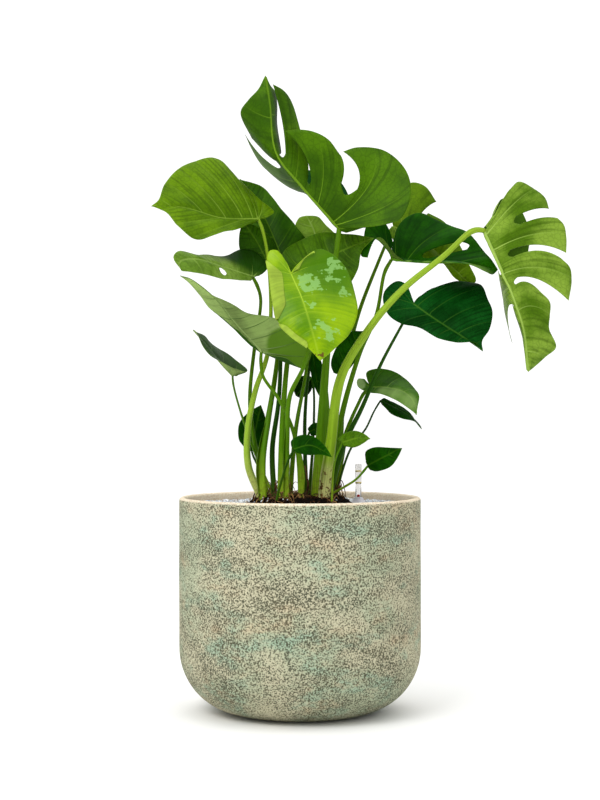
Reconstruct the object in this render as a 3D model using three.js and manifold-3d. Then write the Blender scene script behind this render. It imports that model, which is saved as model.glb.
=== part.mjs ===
// A potted monstera: a stoneware pot filled with soil, a crust of white granules round the crown,
// two dozen leaves on their own stalks, two aerial roots and a water-level gauge in the soil.
// Millimetres, +Z up. The origin is the centre of the pot's flat foot; -Y is the front.
import * as THREE from 'three';
import Module from 'manifold-3d';
import { mergeVertices } from 'three/addons/utils/BufferGeometryUtils.js';

const wasm = await Module();
wasm.setup();

// Pot
const POT_RADIUS = 170;
const POT_HEIGHT = 301.5;
const POT_WALL = 9;
const POT_FLOOR = 12;
const POT_CORNER = 90;
const POT_SIDES = 48;
const CORNER_STEPS = 6;
const BORE_STEPS = 5;
const RIM_ROUND = 4.2;
const RIM_STEPS = 2;

// What fills the pot
const SEAT = 0.35;
const SOIL_LEVEL = 286.5;
const MOUND_HEIGHT = 15.5;
const MOUND_CROWN = 1;
const MOUND_RADIUS = 58;
const MOUND_FOOT = 84;
const CRUST_INNER = 86;
const CRUST_THICKNESS = 1.4;
const CRUST_GRAIN = 4;
const CRUST_SCATTER = 0.5;
const CRUST_ROWS = 10;
const CRUST_SIDES = 132;
const CRUST_SEED = 7;

// Leaves and stalks
const BLADE_THICKNESS = 0.8;
const BLADE_CUP = 0.07;
const VEIN_SWEEP = 0.1;
const LINE_SPACING = 26;
const PLAIN_STEPS = 3;
const CUT_STEPS = 5;
const UNCUT = 2;
const FAN_SHARE = 0.3;
const STALK_SIDES = 6;
const STALK_SPACING = 34;
const STALK_FOOT = 272;
const STALK_TIP_SHARE = 0.6;
const STALK_SETBACK = 0.5;
const ROOT_RADIUS = 2.2;

// Water-level gauge
const GAUGE_X = 84;
const GAUGE_Y = 50;
const GAUGE_SIDES = 12;
const TUBE_RADIUS = 4.4;
const TUBE_WALL = 0.8;
const TUBE_FOOT = 1;
const TUBE_TOP = 346;
const TUBE_ROUND = 1;
const COLLAR_RADIUS = 13.3;
const COLLAR_BRIM = 1.8;
const COLLAR_NECK = 6.4;
const COLLAR_HEIGHT = 11.5;
const COLLAR_ROOM = 1;
const SHAFT_RADIUS = 9;
const SHAFT_WALL = 1.5;
const SHAFT_BOTTOM = 62;
const SHAFT_END = 3;
const SHAFT_GAP = 0.45;
const FLOAT_RADIUS = 6;
const FLOAT_HEIGHT = 36;
const FLOAT_TAPER = 3;
const ROD_RADIUS = 1.3;
const ROD_ROOM = 1.2;
const ROD_TOP = 303;
const TIP_RADIUS = 2.2;
const TIP_HEIGHT = 6;
const TIP_TAPER = 2;
const TIP_ROUND = 1;

// Every leaf: its rib from the stalk to the tip, the margin of each half lobe by lobe (from the
// stalk round to the tip), and the stalk from the soil up. ribSpan is the share of the rib that a
// lobe grows from. first and last bend a lobe's two sides; split or slot opens the blade between
// a lobe and the next, from that share of the way to the margin. Points are [x, y, z].
const LEAVES = [
  {
    name: 'top_split',
    rib: [
      [54, -30, 676], [1, -45, 734], [-33, -60, 778], [-41, -62, 844], [-48, -52, 886],
    ],
    left: [
      { ribSpan: [0, 0.25], split: 0.4, edge: [
        [56, -18, 689], [71, 30, 724], [47, 75, 764], [3, 70, 774],
      ] },
      { ribSpan: [0.3, 0.42], last: [-57, 30, 779], split: 0.2, edge: [
        [-13, 58, 753], [-30, 58, 759], [-43, 54, 767], [-56, 46, 779], [-67, 30, 795],
        [-77, 5, 814],
      ] },
      { ribSpan: [0.5, 1], first: [-39, -40, 771], edge: [
        [-67, -30, 803], [-83, -42, 837], [-72, -50, 853], [-58, -54, 867],
      ] },
    ],
    right: [
      { ribSpan: [0, 0.06], last: [112, -52, 746], split: 0.4, edge: [
        [65, -32, 672], [102, -55, 681], [136, -70, 685], [152, -66, 720], [146, -52, 756],
        [117, -40, 784], [79, -35, 789], [60, -38, 783],
      ] },
      { ribSpan: [0.12, 0.24], first: [75, -55, 751], last: [23, -57, 774], split: 0.2, edge: [
        [54, -45, 779], [40, -48, 798], [19, -52, 809], [-3, -58, 811], [-21, -62, 808],
      ] },
      { ribSpan: [0.28, 0.46], first: [17, -38, 770], last: [-17, -44, 807], split: 0.2, edge: [
        [0, -26, 809], [-6, -28, 834], [-13, -32, 853], [-24, -42, 867], [-38, -52, 874],
      ] },
      { ribSpan: [0.54, 1], edge: [
        [-27, -40, 782], [-30, -30, 805], [-32, -24, 828], [-31, -24, 849], [-33, -30, 866],
        [-41, -44, 875],
      ] },
    ],
    stalk: [
      [24, -15, 299], [29, -20, 379], [33, -28, 445], [39, -34, 521], [47, -36, 612], [53, -31, 661],
    ],
    stalkRadius: [10, 3.4],
    setback: 2.6,
  },
  {
    name: 'left_broad',
    rib: [
      [-58, -30, 690], [-108, -42, 690], [-160, -58, 703], [-204, -68, 704],
    ],
    left: [
      { ribSpan: [0, 1], edge: [
        [-63, -36, 686], [-72, -50, 680], [-88, -62, 673], [-116, -72, 664], [-142, -76, 658],
        [-168, -74, 676], [-184, -70, 696],
      ] },
    ],
    right: [
      { ribSpan: [0, 1], edge: [
        [-52, -28, 692], [-36, -20, 701], [-66, -6, 727], [-90, 0, 754], [-122, -6, 778],
        [-163, -28, 764], [-187, -50, 737], [-195, -64, 712],
      ] },
    ],
    stalk: [
      [-55, -5, 299], [-72, -12, 344], [-73, -16, 396], [-62, -18, 452], [-46, -12, 500],
      [-41, 0, 565], [-46, -20, 645], [-54, -28, 681],
    ],
    stalkRadius: [6, 2.2],
    setback: 0.1,
  },
  {
    name: 'left_rear',
    rib: [
      [-23, 42, 636], [-43, 48, 685], [-67, 44, 731], [-86, 34, 754],
    ],
    left: [
      { ribSpan: [0, 1], edge: [
        [-30, 50, 632], [-55, 68, 638], [-74, 72, 670], [-80, 62, 707], [-86, 46, 734],
      ] },
    ],
    right: [
      { ribSpan: [0, 1], edge: [
        [-14, 38, 636], [10, 28, 661], [-6, 22, 686], [-27, 20, 710], [-36, 22, 724], [-54, 28, 742],
        [-71, 32, 749],
      ] },
    ],
    stalk: [
      [-52, -28, 300], [-53, -24, 351], [-45, -12, 409], [-35, 8, 473], [-27, 30, 552],
      [-24, 44, 617],
    ],
    stalkRadius: [6.5, 2.2],
  },
  {
    name: 'small_top',
    rib: [
      [27, 50, 657], [20, 55, 683], [9, 58, 704],
    ],
    left: [
      { ribSpan: [0, 1], edge: [
        [17, 54, 654], [-1, 58, 668], [-7, 60, 686], [-1, 60, 701],
      ] },
    ],
    right: [
      { ribSpan: [0, 1], edge: [
        [40, 46, 659], [53, 44, 671], [37, 48, 690], [25, 56, 703],
      ] },
    ],
    stalk: [
      [-14, -8, 299], [-6, 0, 396], [9, 20, 481], [20, 40, 581], [26, 52, 645],
    ],
    stalkRadius: [4, 2],
  },
  {
    name: 'centre',
    rib: [
      [4, -6, 621], [49, -2, 644], [104, -12, 665],
    ],
    left: [
      { ribSpan: [0, 1], edge: [
        [-13, -3, 609], [-25, 0, 627], [-23, 4, 647], [-3, 12, 663], [31, 16, 675], [65, 5, 673],
      ] },
    ],
    right: [
      { ribSpan: [0, 1], edge: [
        [1, -10, 601], [25, -18, 589], [63, -18, 595], [81, -16, 620], [87, -14, 648],
      ] },
    ],
    stalk: [
      [-26, -30, 300], [-25, -22, 382], [-21, -12, 459], [-10, -3, 551], [1, -1, 609],
    ],
    stalkRadius: [6.5, 2.4],
  },
  {
    name: 'front_bright',
    rib: [
      [-12, -105, 608], [3, -125, 573], [15, -140, 534], [27, -146, 490],
    ],
    left: [
      { ribSpan: [0, 1], edge: [
        [-4, -107, 614], [8, -108, 632], [27, -104, 642], [45, -98, 635], [63, -97, 615],
        [75, -106, 580], [77, -116, 554], [66, -128, 526], [51, -135, 511], [37, -141, 498],
      ] },
    ],
    right: [
      { ribSpan: [0, 1], edge: [
        [-18, -103, 617], [-23, -98, 632], [-31, -94, 641], [-41, -94, 641], [-45, -96, 632],
        [-40, -109, 601], [-35, -123, 567], [-29, -132, 542], [-11, -139, 523], [11, -143, 507],
      ] },
    ],
    stalk: [
      [-19, -50, 300], [-18, -60, 383], [-14, -68, 443], [5, -78, 484], [14, -88, 526],
      [-3, -96, 585], [-11, -99, 603],
    ],
    stalkRadius: [4.5, 2.2],
  },
  {
    name: 'left_edgewise',
    rib: [
      [-65, -40, 609], [-103, -62, 620], [-143, -85, 630], [-163, -97, 625], [-160, -98, 613],
    ],
    left: [
      { ribSpan: [0, 0.42], slot: [0.4, 0.6], edge: [
        [-69, -46, 603], [-83, -62, 602], [-97, -76, 603],
      ] },
      { ribSpan: [0.48, 1], edge: [
        [-106, -81, 603], [-129, -96, 609], [-147, -103, 611],
      ] },
    ],
    right: [
      { ribSpan: [0, 1], edge: [
        [-58, -35, 610], [-45, -12, 626], [-58, 0, 644], [-80, 0, 650], [-109, -25, 639],
        [-138, -56, 638], [-164, -82, 641], [-172, -94, 631],
      ] },
    ],
    stalk: [
      [-46, 24, 298], [-65, 18, 381], [-71, 14, 438], [-64, 4, 514], [-55, -18, 578],
      [-60, -34, 598],
    ],
    stalkRadius: [4.5, 2.2],
    setback: 0.1,
  },
  {
    name: 'left_pale',
    rib: [
      [-54, -62, 504], [-87, -85, 540], [-116, -108, 576], [-148, -118, 601], [-161, -119, 605],
    ],
    left: [
      { ribSpan: [0, 1], edge: [
        [-41, -58, 501], [-19, -50, 495], [4, -40, 482], [17, -22, 514], [-11, -12, 543],
        [-42, -18, 554], [-74, -42, 560], [-112, -82, 579], [-130, -106, 587],
      ] },
    ],
    right: [
      { ribSpan: [0, 1], edge: [
        [-59, -68, 507], [-76, -95, 525], [-97, -124, 543], [-119, -136, 559], [-131, -130, 576],
      ] },
    ],
    stalk: [
      [1, -38, 299], [-6, -48, 383], [-28, -56, 437], [-51, -60, 471], [-54, -58, 493],
    ],
    stalkRadius: [4, 2.2],
    setback: 2.8,
  },
  {
    name: 'low_left',
    rib: [
      [-94, -15, 472], [-109, -30, 488], [-130, -45, 514], [-148, -50, 535],
    ],
    left: [
      { ribSpan: [0, 1], edge: [
        [-89, -24, 472], [-78, -38, 478], [-96, -58, 483], [-119, -68, 496], [-133, -66, 512],
        [-141, -58, 526],
      ] },
    ],
    right: [
      { ribSpan: [0, 1], edge: [
        [-86, -5, 475], [-74, 12, 481], [-97, 18, 498], [-121, 2, 516], [-138, -30, 529],
      ] },
    ],
    stalk: [
      [-38, 4, 300], [-60, 12, 353], [-78, 2, 403], [-91, -12, 448], [-94, -14, 463],
    ],
    stalkRadius: [2.2, 1.5],
    setback: 0.2,
  },
  {
    name: 'low_dark',
    rib: [
      [-69, 35, 365], [-64, 35, 395], [-56, 40, 431],
    ],
    left: [
      { ribSpan: [0, 1], edge: [
        [-76, 34, 365], [-87, 30, 381], [-87, 32, 404], [-72, 37, 422],
      ] },
    ],
    right: [
      { ribSpan: [0, 1], edge: [
        [-60, 36, 364], [-49, 38, 381], [-49, 41, 408],
      ] },
    ],
    stalk: [
      [-46, 50, 297], [-57, 42, 335], [-67, 36, 358],
    ],
    stalkRadius: [2, 1.4],
  },
  {
    name: 'right_slotted',
    rib: [
      [129, 5, 637], [183, -5, 632], [233, -15, 630], [277, -20, 620],
    ],
    left: [
      { ribSpan: [0, 0.2], last: [195, 8, 662], slot: [0.2, 0.8], edge: [
        [132, 12, 652], [137, 30, 679], [150, 48, 698], [172, 58, 707], [196, 52, 697],
        [219, 38, 686], [239, 24, 677], [250, 14, 664],
      ] },
      { ribSpan: [0.26, 1], first: [206, 2, 643], edge: [
        [255, 10, 656], [261, 2, 647], [268, -10, 637],
      ] },
    ],
    right: [
      { ribSpan: [0, 0.03], last: [111, 8, 698], split: 0.2, edge: [
        [132, 14, 661], [127, 20, 680], [118, 20, 693], [105, 16, 695], [93, 8, 683], [89, -2, 662],
        [86, -12, 640], [95, -14, 638],
      ] },
      { ribSpan: [0.1, 1], edge: [
        [147, -22, 632], [173, -44, 630], [204, -58, 627], [232, -58, 623], [255, -48, 615],
        [267, -36, 612],
      ] },
    ],
    stalk: [
      [38, 20, 299], [48, 18, 353], [61, 14, 424], [85, 12, 505], [108, 12, 558], [120, 10, 619],
    ],
    stalkRadius: [6, 2.4],
    setback: -0.4,
  },
  {
    name: 'rear_right',
    rib: [
      [135, 70, 690], [181, 60, 663], [219, 52, 628], [246, 47, 602],
    ],
    left: [
      { ribSpan: [0, 0.2], last: [175, 84, 718], split: 0.4, edge: [
        [134, 78, 706], [143, 92, 742], [164, 98, 756], [183, 96, 750], [199, 90, 727],
      ] },
      { ribSpan: [0.3, 1], first: [181, 80, 709], edge: [
        [187, 84, 709], [212, 76, 695], [232, 66, 662], [245, 56, 631], [253, 50, 609],
      ] },
    ],
    right: [
      { ribSpan: [0, 1], edge: [
        [127, 64, 681], [144, 50, 657], [178, 44, 642], [205, 44, 633], [224, 45, 612],
      ] },
    ],
    stalk: [
      [30, 44, 297], [43, 48, 380], [64, 58, 481], [84, 65, 561], [116, 70, 644], [132, 72, 682],
    ],
    stalkRadius: [6, 2.2],
  },
  {
    name: 'right_dark',
    rib: [
      [159, -25, 572], [181, -36, 555], [202, -46, 540], [226, -55, 524], [252, -60, 505],
    ],
    left: [
      { ribSpan: [0, 1], edge: [
        [163, -24, 578], [171, -18, 586], [191, -6, 597], [219, 2, 605], [240, 0, 603],
        [255, -8, 600], [262, -26, 579], [267, -42, 559], [262, -52, 536], [251, -59, 519],
      ] },
    ],
    right: [
      { ribSpan: [0, 1], edge: [
        [158, -23, 579], [150, -10, 600], [135, 0, 606], [119, 0, 589], [122, -14, 560],
        [142, -28, 544], [166, -42, 538], [193, -55, 522], [216, -60, 517], [241, -61, 518],
      ] },
    ],
    stalk: [
      [42, 0, 300], [62, -6, 375], [87, -10, 427], [114, -12, 489], [139, -14, 536], [154, -20, 563],
    ],
    stalkRadius: [5, 2],
  },
  {
    name: 'right_split',
    rib: [
      [253, -60, 671], [270, -70, 627], [289, -76, 584], [306, -70, 537], [315, -55, 477],
    ],
    left: [
      { ribSpan: [0, 0.05], last: [313, -46, 709], split: 0.4, edge: [
        [261, -58, 680], [283, -48, 710], [303, -34, 742], [324, -28, 735], [341, -26, 721],
        [346, -28, 704],
      ] },
      { ribSpan: [0.1, 0.2], first: [318, -50, 698], last: [321, -52, 666], split: 0.2, edge: [
        [358, -32, 691], [367, -29, 682], [371, -28, 663], [371, -31, 643],
      ] },
      { ribSpan: [0.26, 0.38], first: [322, -54, 659], last: [319, -56, 624], split: 0.2, edge: [
        [363, -38, 635], [376, -34, 623], [379, -33, 605], [373, -37, 576],
      ] },
      { ribSpan: [0.44, 1], first: [305, -62, 614], edge: [
        [333, -50, 586], [345, -48, 572], [345, -47, 556], [344, -46, 536], [355, -45, 511],
        [342, -46, 498], [328, -48, 486],
      ] },
    ],
    right: [
      { ribSpan: [0, 0.3], last: [297, 10, 633], split: 0.2, edge: [
        [260, -46, 679], [271, -20, 696], [280, 8, 713], [286, 26, 724], [297, 40, 726],
        [318, 52, 710], [332, 58, 675], [330, 56, 647],
      ] },
      { ribSpan: [0.34, 0.5], last: [284, -30, 563], split: 0.2, edge: [
        [278, -34, 618], [283, -14, 601], [289, 0, 576], [293, 6, 551], [301, 10, 518],
      ] },
      { ribSpan: [0.56, 1], edge: [
        [293, -60, 569], [297, -56, 554], [304, -53, 532], [310, -52, 506],
      ] },
    ],
    stalk: [
      [33, -34, 299], [43, -48, 380], [56, -64, 468], [92, -76, 532], [136, -86, 585],
      [198, -86, 636], [233, -72, 668], [246, -64, 672],
    ],
    stalkRadius: [9, 3.6],
    setback: 2.3,
  },
  {
    name: 'low_right_broad',
    rib: [
      [101, 15, 456], [124, 0, 455], [146, -10, 449], [159, -14, 435], [163, -15, 417],
    ],
    left: [
      { ribSpan: [0, 1], edge: [
        [97, 18, 464], [95, 25, 478], [111, 30, 483], [131, 30, 479], [154, 20, 465], [167, 4, 446],
        [165, -6, 432],
      ] },
    ],
    right: [
      { ribSpan: [0, 1], edge: [
        [91, 17, 468], [82, 13, 468], [82, 8, 458], [96, 2, 449], [115, -8, 445], [134, -20, 438],
        [151, -24, 427],
      ] },
    ],
    stalk: [
      [47, 28, 300], [64, 20, 387], [82, 16, 431], [92, 18, 449],
    ],
    stalkRadius: [5, 2.2],
  },
  {
    name: 'low_right_thin',
    rib: [
      [115, 22, 438], [139, 15, 425], [159, 10, 413], [172, 5, 397],
    ],
    left: [
      { ribSpan: [0, 1], edge: [
        [120, 25, 441], [136, 28, 434], [155, 20, 420],
      ] },
    ],
    right: [
      { ribSpan: [0, 1], edge: [
        [117, 18, 431], [127, 5, 420], [145, 0, 411], [161, 2, 407],
      ] },
    ],
    stalk: [
      [51, 12, 299], [71, 14, 367], [94, 20, 398], [105, 23, 421],
    ],
    stalkRadius: [2.2, 1.3],
  },
  {
    name: 'small_front_right',
    rib: [
      [58, -60, 379], [77, -70, 385], [96, -78, 385],
    ],
    left: [
      { ribSpan: [0, 1], edge: [
        [52, -56, 384], [59, -54, 391], [74, -60, 395], [89, -73, 391],
      ] },
    ],
    right: [
      { ribSpan: [0, 1], edge: [
        [60, -64, 375], [73, -74, 373], [87, -81, 379],
      ] },
    ],
    stalk: [
      [44, -52, 300], [48, -56, 352],
    ],
    stalkRadius: [2, 1.3],
  },
  {
    name: 'small_front',
    rib: [
      [-8, -85, 371], [14, -95, 376], [43, -105, 361],
    ],
    left: [
      { ribSpan: [0, 1], edge: [
        [-12, -82, 375], [-12, -78, 382], [1, -80, 389], [19, -88, 388], [34, -98, 376],
      ] },
    ],
    right: [
      { ribSpan: [0, 1], edge: [
        [-4, -90, 366], [14, -102, 363], [30, -107, 364],
      ] },
    ],
    stalk: [
      [-32, -56, 300], [-23, -66, 335], [-14, -80, 360],
    ],
    stalkRadius: [2.2, 1.5],
    setback: 0.2,
  },
  {
    name: 'small_low_right',
    rib: [
      [94, -45, 347], [113, -60, 358], [140, -70, 372],
    ],
    left: [
      { ribSpan: [0, 1], edge: [
        [91, -44, 352], [92, -42, 366], [102, -48, 372], [121, -60, 373],
      ] },
    ],
    right: [
      { ribSpan: [0, 1], edge: [
        [98, -50, 341], [109, -60, 340], [125, -70, 347], [134, -74, 361],
      ] },
    ],
    stalk: [
      [42, -28, 304], [60, -34, 316], [78, -40, 328],
    ],
    stalkRadius: [2, 1.5],
  },
  {
    name: 'rear_centre',
    rib: [
      [55, 50, 475], [72, 50, 507], [90, 45, 537],
    ],
    left: [
      { ribSpan: [0, 1], edge: [
        [49, 52, 477], [45, 55, 491], [53, 56, 516], [72, 50, 536],
      ] },
    ],
    right: [
      { ribSpan: [0, 1], edge: [
        [63, 45, 472], [79, 42, 493], [92, 42, 517],
      ] },
    ],
    stalk: [
      [20, 36, 298], [37, 44, 381], [52, 51, 458],
    ],
    stalkRadius: [4, 2],
  },
  {
    name: 'narrow_hanging',
    rib: [
      [18, 20, 506], [23, 12, 473], [27, 5, 444],
    ],
    left: [
      { ribSpan: [0, 1], edge: [
        [26, 18, 503], [33, 12, 483], [31, 6, 458],
      ] },
    ],
    right: [
      { ribSpan: [0, 1], edge: [
        [16, 22, 502], [14, 18, 483], [20, 9, 458],
      ] },
    ],
    stalk: [
      [9, 22, 299], [7, 24, 410], [13, 27, 481],
    ],
    stalkRadius: [4, 2],
    setback: 0.9,
  },
  {
    name: 'left_shaded',
    rib: [
      [-43, 12, 628], [-62, 10, 663], [-81, 4, 690],
    ],
    left: [
      { ribSpan: [0, 1], edge: [
        [-51, 8, 622], [-71, 6, 630], [-85, 4, 650], [-86, 2, 670],
      ] },
    ],
    right: [
      { ribSpan: [0, 1], edge: [
        [-37, 15, 631], [-33, 22, 651], [-46, 24, 672], [-65, 14, 686],
      ] },
    ],
    stalk: [
      [-36, -16, 299], [-39, -8, 368], [-30, -4, 438], [-28, 4, 523], [-38, 16, 606],
    ],
    stalkRadius: [4.5, 2.2],
  },
  {
    name: 'rear_small',
    rib: [
      [17, 60, 471], [6, 60, 457], [-6, 58, 444],
    ],
    left: [
      { ribSpan: [0, 1], edge: [
        [9, 58, 473], [-4, 56, 471], [-10, 56, 457],
      ] },
    ],
    right: [
      { ribSpan: [0, 1], edge: [
        [20, 62, 461], [13, 62, 447], [1, 60, 441],
      ] },
    ],
    stalk: [
      [13, 58, 298], [19, 58, 380], [20, 55, 450],
    ],
    stalkRadius: [3, 1.6],
  },
  {
    name: 'rear_tiny',
    rib: [
      [13, 6, 393], [23, 4, 398], [34, 0, 404],
    ],
    left: [
      { ribSpan: [0, 1], edge: [
        [11, 6, 398], [18, 4, 405], [27, 1, 406],
      ] },
    ],
    right: [
      { ribSpan: [0, 1], edge: [
        [17, 4, 387], [27, -1, 390], [32, -2, 399],
      ] },
    ],
    stalk: [
      [0, 8, 299], [6, 6, 353], [11, 7, 384],
    ],
    stalkRadius: [2.5, 1.5],
  },
];

const ROOTS = [
  { name: 'root_right', path: [[44, -14, 299], [52, -16, 309], [58, -18, 320]] },
  { name: 'root_centre', path: [[8, -20, 299], [11, -20, 318], [7, -18, 346]] },
];

// Materials
const BLADE_COLOURS = {
  front_bright: 0x8fc21a, top_split: 0x4b8a12, left_broad: 0x5f9417, right_split: 0x78a92c,
  left_pale: 0x71903f, small_top: 0x7aa52f, centre: 0x3f7410, small_front_right: 0x5d8426,
  rear_right: 0x5b8c25, left_edgewise: 0x557f24, low_left: 0x4c6b33, left_rear: 0x33640f,
};
const BLADE_GREEN = 0x2f5a12;
const STALK_COLOURS = {
  right_split: 0x94b52c, top_split: 0x6f9a1c, left_broad: 0x9bbb46, centre: 0x86a832,
  left_rear: 0x6d9a24,
};
const STALK_GREEN = 0x4f7d1c;

const matte = (color, roughness) => new THREE.MeshStandardMaterial({ color, roughness, metalness: 0 });
const bladeMaterial = (name) => matte(BLADE_COLOURS[name] ?? BLADE_GREEN, 0.4);
const stalkMaterial = (name) => matte(STALK_COLOURS[name] ?? STALK_GREEN, 0.45);
const rootMaterial = () => matte(0x4a3220, 0.8);
const stoneware = () => matte(0xb1af8f, 0.9);
const pottingSoil = () => matte(0x1f1712, 0.95);
const whiteGranules = () => matte(0xdfe0e2, 0.85);
const tubePlastic = () => matte(0xd3d1d6, 0.2);
const collarPlastic = () => matte(0xc4c2cc, 0.35);
const shaftPlastic = () => matte(0xb9b9bd, 0.4);
const floatPlastic = () => matte(0xb8302a, 0.4);

const vector = (point) => new THREE.Vector3(...point);
const smoothCurve = (points) => new THREE.CatmullRomCurve3(points, false, 'centripetal');

// Turn a mesh with merged corners into a manifold solid, and back.
function toSolid(geometry) {
  const bare = geometry.clone();
  bare.deleteAttribute('normal');
  bare.deleteAttribute('uv');
  const merged = mergeVertices(bare, 1e-4);
  return new wasm.Manifold(new wasm.Mesh({
    numProp: 3,
    vertProperties: new Float32Array(merged.attributes.position.array),
    triVerts: new Uint32Array(merged.index.array),
  }));
}

function toGeometry(solid) {
  const mesh = solid.getMesh();
  return indexed(mesh.vertProperties, Array.from(mesh.triVerts));
}

function indexed(positions, index) {
  const geometry = new THREE.BufferGeometry();
  geometry.setAttribute('position', new THREE.Float32BufferAttribute(positions, 3));
  geometry.setIndex(index);
  return geometry;
}

function meshOf(name, geometry, material) {
  geometry.computeVertexNormals();
  const mesh = new THREE.Mesh(geometry, material);
  mesh.name = name;
  return mesh;
}

// A closed profile of [radius, height] pairs turned round the Z axis.
function turned(profile, sides) {
  const points = profile.map(([radius, height]) => new THREE.Vector2(radius, height));
  const geometry = new THREE.LatheGeometry(points, sides);
  geometry.rotateX(Math.PI / 2);
  return geometry;
}

// Points of a quarter circle from one angle to another, in degrees.
function arc(centreRadius, centreHeight, radius, from, to, steps) {
  return Array.from({ length: steps + 1 }, (_, i) => {
    const angle = THREE.MathUtils.degToRad(from + ((to - from) * i) / steps);
    return [centreRadius + radius * Math.cos(angle), centreHeight + radius * Math.sin(angle)];
  });
}

// ---- Pot, soil and crust ----

const BORE_RADIUS = POT_RADIUS - POT_WALL;
const BORE_CORNER = POT_CORNER - POT_WALL;

function potGeometry() {
  const foot = POT_RADIUS - POT_CORNER;
  const rimHeight = POT_HEIGHT - RIM_ROUND;
  return turned([
    [0, 0],
    ...arc(foot, POT_CORNER, POT_CORNER, -90, 0, CORNER_STEPS),
    ...arc(POT_RADIUS - RIM_ROUND, rimHeight, RIM_ROUND, 0, 90, RIM_STEPS),
    ...arc(BORE_RADIUS + RIM_ROUND, rimHeight, RIM_ROUND, 90, 180, RIM_STEPS),
    ...arc(BORE_RADIUS - BORE_CORNER, POT_FLOOR + BORE_CORNER, BORE_CORNER, 0, -90, BORE_STEPS),
    [0, POT_FLOOR],
  ], POT_SIDES);
}

// The soil fills the pot to SOIL_LEVEL and rises in a low mound under the crown.
function soilSolid(holes) {
  const radius = BORE_RADIUS - SEAT;
  const body = toSolid(turned([
    [0, POT_FLOOR + SEAT],
    ...arc(radius - BORE_CORNER, POT_FLOOR + SEAT + BORE_CORNER, BORE_CORNER, -90, 0, BORE_STEPS),
    [radius, SOIL_LEVEL],
    [MOUND_FOOT, SOIL_LEVEL],
    [MOUND_RADIUS, SOIL_LEVEL + MOUND_HEIGHT],
    [0, SOIL_LEVEL + MOUND_HEIGHT + MOUND_CROWN],
  ], POT_SIDES));
  return holes.reduce((soil, hole) => soil.subtract(hole), body);
}

// A ring of white granules lying on the soil, raised grain by grain from one sheet.
function crustSolid(holes) {
  const bottom = SOIL_LEVEL + SEAT;
  const outer = (BORE_RADIUS - SEAT) * Math.cos(Math.PI / POT_SIDES) - SEAT;
  THREE.MathUtils.seededRandom(CRUST_SEED);
  const scatter = () => CRUST_SCATTER * (THREE.MathUtils.seededRandom() - 0.5);
  const positions = [];
  for (let row = 0; row <= CRUST_ROWS; row += 1) {
    const isBorder = row === 0 || row === CRUST_ROWS;
    for (let side = 0; side < CRUST_SIDES; side += 1) {
      const along = row + (isBorder ? 0 : scatter());
      const round = side + (isBorder ? 0 : scatter());
      const rise = isBorder ? 0 : CRUST_GRAIN * THREE.MathUtils.seededRandom();
      const radius = CRUST_INNER + ((outer - CRUST_INNER) * along) / CRUST_ROWS;
      const angle = (2 * Math.PI * round) / CRUST_SIDES;
      const height = bottom + CRUST_THICKNESS + rise;
      positions.push([radius * Math.cos(angle), radius * Math.sin(angle), height]);
    }
  }
  const topCount = positions.length;
  for (const row of [0, CRUST_ROWS]) {
    for (let side = 0; side < CRUST_SIDES; side += 1) {
      const [x, y] = positions[row * CRUST_SIDES + side];
      positions.push([x, y, bottom]);
    }
  }
  const at = (row, side) => row * CRUST_SIDES + (side % CRUST_SIDES);
  const under = (ring, side) => topCount + ring * CRUST_SIDES + (side % CRUST_SIDES);
  const index = [];
  const quad = (a, b, c, d) => index.push(a, b, c, a, c, d);
  for (let side = 0; side < CRUST_SIDES; side += 1) {
    for (let row = 0; row < CRUST_ROWS; row += 1) {
      quad(at(row, side), at(row + 1, side), at(row + 1, side + 1), at(row, side + 1));
    }
    quad(under(0, side), at(0, side), at(0, side + 1), under(0, side + 1));
    quad(at(CRUST_ROWS, side), under(1, side), under(1, side + 1), at(CRUST_ROWS, side + 1));
    quad(under(1, side), under(0, side), under(0, side + 1), under(1, side + 1));
  }
  const crust = toSolid(indexed(positions.flat(), index));
  return holes.reduce((solid, hole) => solid.subtract(hole), crust);
}

// ---- Leaf blades ----

// The end corner of a blade's margin is the tip of its rib.
function lobeEdge(lobe, rib, isLast) {
  const points = lobe.edge.map(vector);
  if (isLast) points.push(vector(rib[rib.length - 1]));
  return smoothCurve(points);
}

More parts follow.
